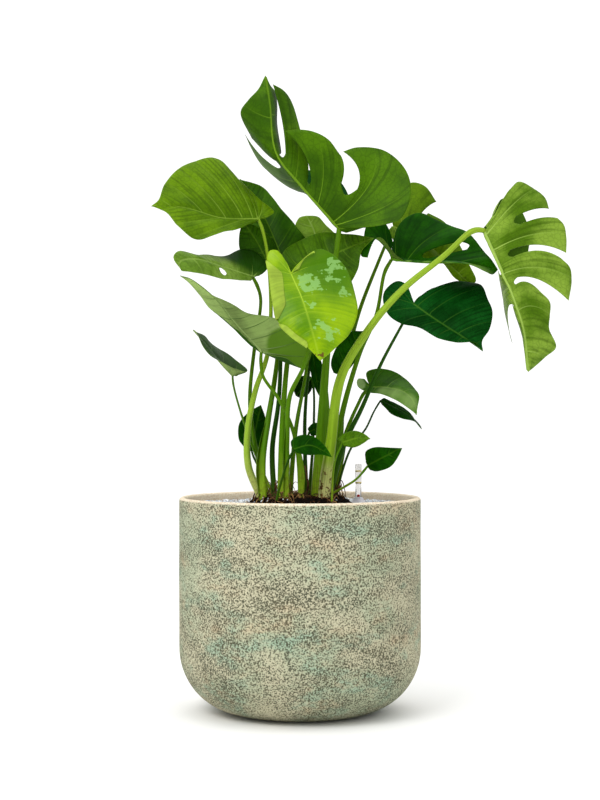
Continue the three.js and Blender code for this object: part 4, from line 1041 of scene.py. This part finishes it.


# Spots: place, full within and gone beyond (mm), strength, colour and, for a ragged one, the scale of its
# rags and how much of it they take. Most of them are painted shade, painted highlights or painted
# reflections; the scar and the folded bands are the leaf's own colour.
# Painted highlight: the colour of pale patches of reflected light on the bright leaf
PAINTED_SHEEN = (134, 182, 100)
SCAR = (92, 58, 26)
FOLDED = (142, 172, 98)
# Painted reflection: the colour of a pale gleam on a dark leaf's front margin where it is seen edge-on
PAINTED_EDGE_REFLECTION = (116, 156, 60)
LOOKS = {
    "bright": look("blade_bright", (84, 130, 0), (136, 172, 0), (158, 190, 48), (156, 184, 66), 0.3,
                   lines=0.06, veins=0.35, specular=0.12, lumps=0.9, pucker=1.0, wave=1.0,
                   # Painted shade: a large darker zone over the upper right part of the bright leaf
                   spots=[((46, -100, 630), 26, 84, 0.9, (62, 110, 0)),
                          # Painted highlights: ragged pale patches of reflected light
                          ((44, -100, 612), 10, 34, 0.7, PAINTED_SHEEN, 95.0, 0.54),
                          ((14, -110, 592), 10, 30, 0.7, PAINTED_SHEEN, 95.0, 0.53),
                          ((58, -112, 582), 4, 20, 0.65, PAINTED_SHEEN, 95.0, 0.53),
                          ((16, -120, 566), 5, 20, 0.7, PAINTED_SHEEN, 95.0, 0.54),
                          ((32, -130, 532), 12, 34, 0.7, PAINTED_SHEEN, 82.0, 0.56),
                          ((-12, -122, 556), 3, 13, 0.8, PAINTED_SHEEN, 90.0, 0.5),
                          ((22, -143, 497), 6, 22, 0.9, SCAR, 170.0, 0.6)]),
    # The underside's dark green is painted shade, for the shaded back half seen through the slots
    "fresh": look("blade_fresh", (72, 108, 6), (128, 160, 52), (152, 182, 84), (64, 102, 22), 0.45,
                  veins=0.6, pucker=2.6, wave=1.6),
    # Painted light: a lighter copy of the fresh finish, for a leaf that stands in shade behind the top leaf
    "lit": look("blade_fresh", (128, 168, 46), (158, 194, 80), (176, 204, 110), (160, 190, 82)),
    "soft": look("blade_mid", (66, 100, 0), (96, 132, 6), (136, 166, 60), (112, 146, 44),
                 veins=0.6, pucker=2.8),
    # The dark teal underside is painted shade, for undersides that stand in shade
    "mid": look("blade_mid", (46, 82, 0), (72, 112, 4), (108, 146, 30), (24, 64, 28), pucker=1.8),
    "banded": look("blade_mid", (40, 84, 0), (64, 112, 4), (124, 158, 60), (120, 150, 80), pucker=1.8,
                   spots=[((118, -2, 447), 3, 15, 0.7, FOLDED), ((134, -8, 443), 5, 18, 0.7, FOLDED),
                          ((152, -14, 434), 7, 20, 0.6, FOLDED),
                          ((83, 11, 461), 8, 12, 0.8, (138, 166, 104))]),
    "shade": look("blade_mid", (32, 72, 0), (56, 100, 0), (92, 130, 24), (50, 90, 10)),
    "deep": look("blade_dark", (8, 50, 0), (22, 74, 0), (60, 104, 16), (14, 50, 0), specular=0.015),
    "curled": look("blade_mid", (84, 118, 26), (118, 148, 58), (140, 168, 80), (56, 92, 14), pucker=1.8,
                   # Painted shade: a large dark zone over the rear part of the blade
                   spots=[((-70, 5, 636), 38, 64, 0.95, (18, 60, 0))]),
    "pale": look("blade_underside", (40, 76, 14), (52, 90, 20), (160, 184, 112), (144, 170, 96),
                 lines=0.1, veins=0.25, pucker=1.2,
                 # Painted shade: a darker zone over the underside's basal lobe
                 under_spots=[((-6, -40, 508), 38, 46, 0.9, (78, 116, 20))]),
    "slotted": look("blade_dark", (12, 60, 0), (34, 94, 0), (92, 140, 30), (104, 140, 50), specular=0.02,
                    # Painted reflections along the front margin of the blade
                    spots=[((246, -42, 616), 10, 30, 0.75, PAINTED_EDGE_REFLECTION), ((205, -58, 626), 2, 11, 0.6, PAINTED_EDGE_REFLECTION),
                           ((175, -44, 630), 2, 9, 0.6, PAINTED_EDGE_REFLECTION), ((150, -24, 632), 2, 9, 0.6, PAINTED_EDGE_REFLECTION)]),
    "dark": look("blade_dark", (4, 48, 6), (14, 76, 20), (62, 108, 30), (10, 52, 0), 0.4,
                 specular=0.015, lumps=0.5, pucker=1.6),
}


def stalk_finish(name, base, low, high, scars=0.0):
    """A stalk: pale at the soil, greener above, with long streaks, specks and brown scars at its foot."""
    f = Finish(name, specular_ior_level=0.08)
    turn, along = f.uv("place")
    streak = f.noise(1.0, f.vector(f.times(turn, 26.0), f.times(along, 0.012)), 3.0)
    height = f.linear(f.noise(24.0, detail=3.0), 60.0, along)
    green = f.mix(f.step(60.0, 340.0, height), low, high)
    green = f.mix(f.step(130.0, 62.0, height), green, base)
    green = f.mix(f.times(f.step(0.42, 0.66, streak), 0.4), green, dimmed(low, 0.62))
    speck = f.times(f.step(0.69, 0.75, f.noise(330.0, detail=2.0)), 0.6)
    scar = f.times(f.step(0.55, 0.59, f.noise(190.0, detail=4.0)), f.step(112.0, 84.0, height))
    f.colour(f.mix(f.math("MAXIMUM", speck, f.times(scar, scars)), green, (96, 66, 30)))
    f.roughness(f.linear(streak, 0.18, 0.3))
    f.bumps((streak, 0.5), (f.noise(260.0), 0.15))
    return f.material


STALK_FINISHES = {
    "stalk_pale": stalk_finish("stalk_pale", (222, 226, 132), (152, 186, 58), (134, 168, 34), 0.3),
    "stalk_main": stalk_finish("stalk_pale", (224, 222, 146), (128, 166, 24), (140, 172, 44), 0.95),
    "stalk_green": stalk_finish("stalk_green", (142, 176, 36), (78, 126, 0), (78, 118, 2), 0.3),
    "stalk_dark": stalk_finish("stalk_dark", (64, 102, 12), (30, 74, 0), (36, 78, 4)),
}
STALK_SLOTS = {"stalk_main": "stalk_pale"}
STALK_LOOKS = {"left_broad": "stalk_pale", "right_split": "stalk_main"} | dict.fromkeys(
    ("low_right_thin", "right_dark", "rear_centre", "low_dark", "narrow_hanging", "rear_small", "rear_tiny",
     "small_front", "left_shaded"), "stalk_dark")
# How strongly the side veins of a leaf lean towards its tip, above 1
SWEEPS = {"left_broad": 2.4, "front_bright": 1.25, "right_dark": 1.2}
# Rolled margins: half (-1 left, 1 right), from and to (x, z) and width
FOLDS = {
    "front_bright": [(1, (-40, 626), (-29, 544), 17), (1, (-27, 540), (10, 507), 6),
                     (-1, (-10, 613), (18, 638), 4)],
}
# Sheaths on a stalk: from and to as shares of its length, heading in degrees and width
SHEATHS = {
    "top_split": [(0.06, 0.42, -30, 7)],
    "right_split": [(0.05, 0.2, -150, 7)],
    "centre": [(0.06, 0.4, -20, 7)],
    "left_rear": [(0.05, 0.34, -160, 7)],
    "right_slotted": [(0.06, 0.36, -20, 6)],
    "low_right_broad": [(0.1, 0.6, -60, 5)],
    "front_bright": [(0.08, 0.36, -150, 5)],
    "left_pale": [(0.1, 0.4, -30, 4)],
}


def pot_finish():
    """Stoneware with a rough patina: sage and teal over buff, crowded with dark pits."""
    f = Finish("stoneware", specular_ior_level=0.15)
    place = f.place()
    wide = f.stretched(place, (1.0, 1.0, 1.7))
    sage = f.noise(9.0, wide, 5.0, 0.6)
    teal = f.noise(13.0, f.stretched(place, (1.2, 1.2, 2.6)), 5.0, 0.62)
    peach = f.noise(17.0, wide, 4.0, 0.6)
    crowd = f.noise(14.0, wide, 5.0, 0.65)
    grit = f.noise(470.0, detail=2.0, rough=0.6)
    grit_fine = f.noise(900.0, detail=1.0)
    glaze = f.mix(f.step(0.42, 0.6, sage), (192, 188, 158), (174, 182, 152))
    glaze = f.mix(f.times(f.step(0.5, 0.68, teal), 0.7), glaze, (142, 178, 154))
    glaze = f.mix(f.times(f.step(0.52, 0.7, peach), 0.6), glaze, (202, 178, 144))
    glaze = f.mix(f.times(f.step(0.5, 0.66, grit_fine), 0.4), glaze, (218, 210, 180))
    pits = f.step(0.76, 0.88, f.linear(crowd, 0.28, f.linear(grit_fine, 0.3, grit)))
    # Bare clay inside the wall and on top of the rim
    x, y, z = f.split(place)
    radius = f.math("SQRT", f.math("ADD", f.times(x, x), f.times(y, y)))
    inside = f.step((POT_RADIUS - 1.5) * MM, (POT_RADIUS - 3.5) * MM, radius)
    on_rim = f.step((POT_HEIGHT - 4.0) * MM, (POT_HEIGHT - 1.5) * MM, z)
    bare = f.math("MAXIMUM", f.times(inside, f.step(0.2, 0.25, z)), f.times(on_rim, 0.9))
    dark = f.mix(f.step(0.3, 0.7, peach), (72, 76, 60), (90, 84, 64))
    clay = f.mix(f.step(0.4, 0.65, grit), (250, 236, 212), (236, 214, 182))
    f.colour(f.mix(bare, f.mix(f.times(pits, 0.95), glaze, dark), clay))
    f.roughness(f.linear(pits, 0.1, 0.8))
    f.bumps((f.math("SUBTRACT", 1.0, pits), 0.7), (grit_fine, 0.3), (crowd, 1.0))
    return f.material


def crumb_finish(name, colours, rough=0.9, scale=160.0, bump=0.5, specular=0.2):
    """A grainy finish that wanders between two colours."""
    f = Finish(name, specular_ior_level=specular)
    grain = f.noise(scale, detail=4.0, rough=0.65)
    f.colour(f.mix(f.step(0.35, 0.65, grain), *colours))
    f.roughness(f.linear(grain, 0.15, rough - 0.08))
    f.bumps((f.noise(scale * 3, detail=2.0), bump))
    return f.material


def plastic_finish(name, colour, rough, clear=0.0, scuff=0.04, ior=1.45, tip=None, above=0.0):
    """Moulded plastic with faint scuffs; clear lets light through, and tip is its colour above a height."""
    f = Finish(name, specular_ior_level=0.5, transmission_weight=clear, ior=ior)
    haze = f.noise(90.0, f.stretched(f.place(), (1.0, 1.0, 0.3)), 3.0)
    body = f.mix(f.step(0.3, 0.7, haze), colour, dimmed(colour, 0.94))
    if tip:
        _, _, z = f.split(f.place())
        body = f.mix(f.step(above * MM, (above + 0.2) * MM, z), body, tip)
    f.colour(body)
    f.roughness(f.linear(haze, scuff * 2, rough - scuff))
    f.bumps((f.noise(500.0), 0.04))
    return f.material


# ---- Pot, soil, granules, roots ----


def turned(body, profile, sides, kind=0, at=(0, 0), closed=False, uneven=0.0, seed=0):
    """A profile of (radius, height) pairs turned round the upright axis through at."""
    angles = circle(sides)
    rings = []
    for radius, height in profile:
        ring = np.stack([at[0] + radius * np.cos(angles), at[1] + radius * np.sin(angles),
                         np.full(sides, float(height))], -1)
        if uneven and radius > 1:
            ring[:, :2] *= 1 + (uneven * ripple(ring, 90, seed) / radius)[:, None]
        rings.append(ring)
    add_rings(body, rings, kind, closed)


def arc(radius_at, height_at, radius, start, stop, steps):
    """A profile's round part about a place, between two angles in degrees."""
    angles = np.radians(np.linspace(start, stop, steps + 1))
    return [(radius_at + radius * math.cos(a), height_at + radius * math.sin(a)) for a in angles]


def make_pot():
    """The planter, as one profile: foot, outside, rim, inside and floor."""
    bore = POT_RADIUS - POT_WALL
    bore_corner = POT_CORNER - POT_WALL
    foot = POT_RADIUS - POT_CORNER
    rim = POT_HEIGHT - RIM_ROUND
    walls = np.linspace(POT_CORNER, rim, 60)[1:-1]
    inside = np.linspace(rim, POT_FLOOR + bore_corner, 30)[1:-1]
    profile = [(foot * k / 6 + 0.5, 0) for k in range(6)]
    profile += arc(foot, POT_CORNER, POT_CORNER, -90, 0, 34)
    profile += [(POT_RADIUS, z) for z in walls]
    profile += arc(POT_RADIUS - RIM_ROUND, rim, RIM_ROUND, 0, 90, 7)
    profile += arc(bore + RIM_ROUND, rim, RIM_ROUND, 90, 180, 7)
    profile += [(bore, z) for z in inside]
    profile += arc(bore - bore_corner, POT_FLOOR + bore_corner, bore_corner, 0, -90, 12)
    profile += [(0.5, POT_FLOOR)]
    body = Body()
    turned(body, profile, POT_SIDES, uneven=POT_UNEVENNESS, seed=3)
    body.finish("pot_stoneware", [pot_finish()], "stoneware", "pot")


def ground_height(radius):
    """Height of the soil at a distance from the middle of the pot."""
    slope = np.clip((radius - MOUND_RADIUS) / (MOUND_FOOT - MOUND_RADIUS), 0, 1)
    crown = MOUND_CROWN * np.clip(1 - radius / MOUND_RADIUS, 0, 1)
    return SOIL_LEVEL + MOUND_HEIGHT * (1 - slope * slope * (3 - 2 * slope)) + crown


def soil_height(x, y):
    return ground_height(math.hypot(x, y))


def make_soil(rng):
    """The soil with its mound, lumps and crumbs, and a skirt down inside the pot."""
    body = Body()
    radii = np.concatenate([[0.4], np.linspace(3, POT_RADIUS - POT_WALL - 0.4, SOIL_RINGS)])
    angles = circle(SOIL_SIDES)
    grid = np.stack([radii[:, None] * np.cos(angles), radii[:, None] * np.sin(angles),
                     np.repeat(ground_height(radii)[:, None], SOIL_SIDES, 1)], -1)
    lumps = sum(height * ripple(grid, length, seed) for height, length, seed in SOIL_LUMPS)
    grid[..., 2] += lumps * SOIL_LUMP_SHARE + rng.uniform(-SOIL_RANDOM, SOIL_RANDOM, lumps.shape)
    skirt = grid[-1].copy()
    skirt[:, 2] = SOIL_LEVEL - SOIL_SKIRT
    add_rings(body, np.concatenate([grid, skirt[None]])[::-1])
    scatter(body, rng, SOIL_CRUMBS, (2, MOUND_FOOT), (1.2, 4.2), (0, 1, 1, 2), soil_height, (1.0, 0.7, 0.4))
    finishes = [crumb_finish("soil_dark", ((5, 3, 2), (24, 15, 10)), bump=1.2, specular=0.05),
                crumb_finish("soil_bark", ((26, 14, 8), (64, 38, 22)), bump=0.8, specular=0.05),
                crumb_finish("soil_fibre", ((58, 36, 20), (108, 72, 42)), bump=0.5, specular=0.05)]
    body.finish("soil_surface", finishes, "potting_soil", "soil", smooth=False)


def surface_of(node):
    """The height in millimetres of a solid's upper surface at a place."""
    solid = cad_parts[node]
    points = [solid.matrix_world @ vertex.co for vertex in solid.data.vertices]
    tree = BVHTree.FromPolygons(points, [tuple(face.vertices) for face in solid.data.polygons])

    def height(x, y):
        hit = tree.ray_cast((x * MM, y * MM, 1.0), (0, 0, -1))[0]
        return SOIL_LEVEL if hit is None else hit.z / MM
    return height


def grain_shape():
    """Corners and triangles of a twenty-sided solid, which every grain starts from."""
    golden = (1 + 5 ** 0.5) / 2
    corners = unit([(s, t * golden, 0) for s in (-1, 1) for t in (-1, 1)]
                   + [(0, s, t * golden) for s in (-1, 1) for t in (-1, 1)]
                   + [(t * golden, 0, s) for s in (-1, 1) for t in (-1, 1)])
    triangles = []
    for a in range(12):
        for b in range(a + 1, 12):
            for c in range(b + 1, 12):
                near = [np.linalg.norm(corners[i] - corners[j]) < 1.1 for i, j in ((a, b), (b, c), (a, c))]
                if all(near):
                    out = np.cross(corners[b] - corners[a], corners[c] - corners[a]) @ corners[a] > 0
                    triangles.append((a, b, c) if out else (a, c, b))
    return corners, triangles


def scatter(body, rng, amount, ring, sizes, kinds, ground, flatness=(1, 1, 1), lift=0.45):
    """Irregular grains strewn over the ground between two distances from the middle."""
    corners, triangles = grain_shape()
    for _ in range(amount):
        distance = math.sqrt(rng.uniform(ring[0] ** 2, ring[1] ** 2))
        heading = rng.uniform(0, 2 * math.pi)
        x, y = distance * math.cos(heading), distance * math.sin(heading)
        half = rng.uniform(*sizes) / 2
        turn = np.linalg.qr(rng.normal(size=(3, 3)))[0]
        shape = corners * rng.uniform(0.72, 1.25, (12, 1)) * half
        shape = (shape * rng.uniform(0.7, 1.3, 3) * flatness) @ turn.T
        rng.random()  # Not used: the draw keeps the grains after it as they are
        first = body.add_points(shape + (x, y, ground(x, y) + half * lift))
        kind = kinds[rng.integers(len(kinds))]
        for triangle in triangles:
            face = triangle if np.linalg.det(turn) > 0 else triangle[::-1]
            body.add_face([first + i for i in face], kind)


def make_granules(rng):
    """A loose layer of white grains: one bed on the soil and one on top, as uneven as the solid crust."""
    body = Body()
    edge = POT_RADIUS - POT_WALL - GRAIN_MARGIN
    crust = surface_of("granule_crust")
    kinds = (0, 0, 0, 0, 1, 1, 2)
    scatter(body, rng, BED_GRAINS, (CRUST_INNER, edge), (2.4, 4.2), kinds, soil_height)
    scatter(body, rng, CRUST_GRAINS, (CRUST_INNER + 1, edge), (2.2, 4.4), kinds, crust, lift=-0.2)
    strays = (CRUST_INNER - STRAY_REACH, CRUST_INNER)
    scatter(body, rng, STRAY_GRAINS, strays, (1.6, 3.2), (0, 1), soil_height)
    finishes = [crumb_finish("granule_white", ((214, 220, 226), (250, 251, 252)), 0.75, bump=0.4),
                crumb_finish("granule_grey", ((168, 176, 188), (214, 220, 228)), 0.8, bump=0.4),
                crumb_finish("granule_stained", ((120, 104, 92), (196, 186, 172)), 0.8, bump=0.4)]
    body.finish("granules", finishes, "white_granules", "granule_crust", smooth=False)


def make_roots():
    """The aerial roots. Returns their bark, which the fibres share."""
    bark = crumb_finish("root_bark", ((46, 28, 16), (104, 70, 40)), 0.75, 200.0, 0.8)
    for number, (name, points) in enumerate(ROOTS.items()):
        share = np.linspace(0, 1, 40)
        path = Curve(rooted(points)).at(share)
        path += 0.5 * np.stack([ripple(path, 16, 70 + k + 3 * number) for k in range(3)], -1)
        radii = (ROOT_RADIUS * (1 - 0.5 * share)) * (1 + 0.14 * ripple(path, 9, 80 + number))
        radii[-1] *= 0.5
        body = Body()
        add_tube(body, path, radii, 12)
        body.finish("aerial_" + name, [bark], "root_brown", name)
    return bark


def make_fibres(rng, bark):
    """Thin brown roots and dry leaf bases round the feet of the stalks."""
    body = Body()
    feet = [item.stalk[0][:2] for item in LEAVES]
    t = np.linspace(0, 1, FIBRE_STEPS)
    for number in range(FIBRES):
        x, y = feet[number % len(feet)]
        heading = rng.uniform(0, 2 * math.pi)
        reach = rng.uniform(6, 26)
        rise = rng.uniform(2, 11) if number % 3 else rng.uniform(10, 24)
        bend = heading + rng.uniform(-0.9, 0.9) * t
        across, away = x + reach * t * np.cos(bend), y + reach * t * np.sin(bend)
        height = ground_height(np.hypot(across, away)) - 1.5
        height = height + rise * np.sin(math.pi * np.minimum(1, t * 1.05))
        add_tube(body, np.stack([across, away, height], -1),
                 np.full(FIBRE_STEPS, rng.uniform(0.35, 1.1)) * (1 - 0.5 * t), 6, kind=int(rng.integers(2)))
    dry = crumb_finish("dry_sheath", ((96, 66, 34), (160, 122, 72)), 0.7, 120.0, 0.5)
    body.finish("crown_fibres", [bark, dry], "root_brown")


# ---- Gauge ----


def band(body, inner, outer, low, high, sides):
    """A ring of another kind laid round the gauge, between two radii and two heights."""
    turned(body, [(inner, low), (outer, low), (outer, high), (inner, high)], sides, kind=1, at=GAUGE,
           closed=True)


def make_gauge():
    """The clear tube with its marks, the collar, and the finishes of the shaft and the float."""
    foot = SOIL_LEVEL + 0.35
    clear = plastic_finish("gauge_clear", (236, 235, 233), 0.03, clear=1.0, scuff=0.01, ior=1.1)
    grey = plastic_finish("gauge_grey", (220, 217, 226), 0.35)
    dusk = plastic_finish("gauge_base", (120, 116, 134), 0.45)
    mark = plastic_finish("gauge_mark", (240, 218, 130), 0.5)
    inner = TUBE_RADIUS - TUBE_WALL
    tube = Body()
    turned(tube, [(inner, foot + 1), (TUBE_RADIUS, foot + 1), (TUBE_RADIUS, TUBE_TOP - 1)]
           + arc(TUBE_RADIUS - 1, TUBE_TOP - 1, 1, 0, 90, 4)
           + [(0.3, TUBE_TOP), (0.3, TUBE_TOP - TUBE_WALL), (inner, TUBE_TOP - TUBE_WALL)],
           TUBE_SIDES, at=GAUGE, closed=True)
    for height in GAUGE_MARKS:
        band(tube, TUBE_RADIUS - 0.1, TUBE_RADIUS + 0.12, height - MARK_HALF, height + MARK_HALF,
             TUBE_SIDES)
    tube.finish("level_tube", [clear, mark], "gauge_clear", "gauge_tube")
    collar = Body()
    bore = TUBE_RADIUS + 0.35
    top = foot + COLLAR_HEIGHT
    cone = [(COLLAR_NECK + (COLLAR_RADIUS - 0.6 - COLLAR_NECK) * (1 - t) ** 1.25,
             foot + COLLAR_BRIM + 0.5 + (COLLAR_HEIGHT - COLLAR_BRIM - 1.1) * t)
            for t in np.linspace(0, 1, 9)]
    turned(collar, [(bore, foot), (COLLAR_RADIUS, foot), (COLLAR_RADIUS, foot + COLLAR_BRIM)] + cone
           + [(COLLAR_NECK - 0.5, top), (bore, top)], COLLAR_SIDES, at=GAUGE, closed=True)
    band(collar, COLLAR_RADIUS - 1, COLLAR_RADIUS + 0.25, foot - 0.2, foot + COLLAR_BRIM, COLLAR_SIDES)
    collar.finish("level_collar", [grey, dusk], "gauge_grey", "gauge_collar")
    float_top = max(vertex.co.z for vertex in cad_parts["gauge_float"].data.vertices) / MM
    red = plastic_finish("gauge_red", (226, 226, 228), 0.35, tip=(236, 40, 30), above=float_top - RED_TIP)
    for node, finish in (("gauge_shaft", grey), ("gauge_float", red)):
        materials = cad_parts[node].data.materials
        materials.clear()
        materials.append(finish)


# ---- Floor, light and camera ----


def make_floor():
    """A pale floor, which belongs to the stage."""
    mesh = bpy.data.meshes.new("floor")
    corners = [(FLOOR_HALF * x, FLOOR_HALF * y, 0) for x, y in ((-1, -1), (1, -1), (1, 1), (-1, 1))]
    mesh.from_pydata(corners, [], [(0, 1, 2, 3)])
    mesh.materials.append(Finish("floor", base_color=(0.93, 0.93, 0.92, 1), roughness=0.8,
                                 specular_ior_level=0.1).material)
    floor = put("floor", mesh)


def softbox(name, place, target, size, power):
    """A rectangular lamp that faces its target."""
    light = bpy.data.lights.new(name, "AREA")
    light.shape = "RECTANGLE"
    light.size, light.size_y = size
    light.energy = power
    lamp = put(name, light)
    lamp.location = place
    lamp.rotation_euler = (Vector(target) - Vector(place)).to_track_quat("-Z", "Y").to_euler()


def make_light():
    """A white world, brighter above and behind the plant, and three softboxes."""
    world = bpy.data.worlds.new("studio")
    world.use_nodes = True
    tree = world.node_tree
    background = tree.nodes["Background"]
    split = tree.nodes.new("ShaderNodeSeparateXYZ")
    join(tree, tree.nodes.new("ShaderNodeTexCoord").outputs["Generated"], split.inputs[0])
    strength = WORLD_SIDE
    for axis, low, high, bright in ((2, 0.3, 0.62, WORLD_TOP), (1, 0.9, 0.955, WORLD_BACK)):
        ramp = tree.nodes.new("ShaderNodeMapRange")
        ramp.interpolation_type = "SMOOTHSTEP"
        for key, value in enumerate((split.outputs[axis], low, high, strength, bright)):
            join(tree, value, ramp.inputs[key])
        strength = ramp.outputs[0]
    join(tree, strength, background.inputs["Strength"])
    background.inputs["Color"].default_value = (1, 1, 1, 1)
    bpy.context.scene.world = world
    softbox("key", (-1.3, -1.9, 2.3), (0, 0, 0.5), (1.5, 1.1), KEY_POWER)
    softbox("fill", (1.9, -1.6, 1.2), (0, 0, 0.4), (1.4, 1.4), FILL_POWER)
    softbox("overhead", (0.1, 0.2, 2.7), (0, 0, 0.3), (2.4, 2.0), TOP_POWER)


def make_camera():
    """The photo's camera: level, in front of the pot's axis."""
    data = bpy.data.cameras.new("camera")
    data.sensor_width = SENSOR_WIDTH
    data.lens = SENSOR_WIDTH * FOCAL_PIXELS / IMAGE_HEIGHT
    data.clip_end = 200
    camera = put("camera", data)
    camera.location = CAMERA_PLACE
    camera.rotation_euler = (math.pi / 2, 0, 0)
    bpy.context.scene.camera = camera
    bpy.context.scene.view_settings.view_transform = "Standard"


make_camera()
make_light()
make_floor()
strewn = np.random.default_rng(STREWN_SEED)
for number, item in enumerate(LEAVES):
    make_blade(item, number)
    make_stalk(item, number)
make_pot()
make_soil(strewn)
make_granules(strewn)
make_fibres(strewn, make_roots())
make_gauge()
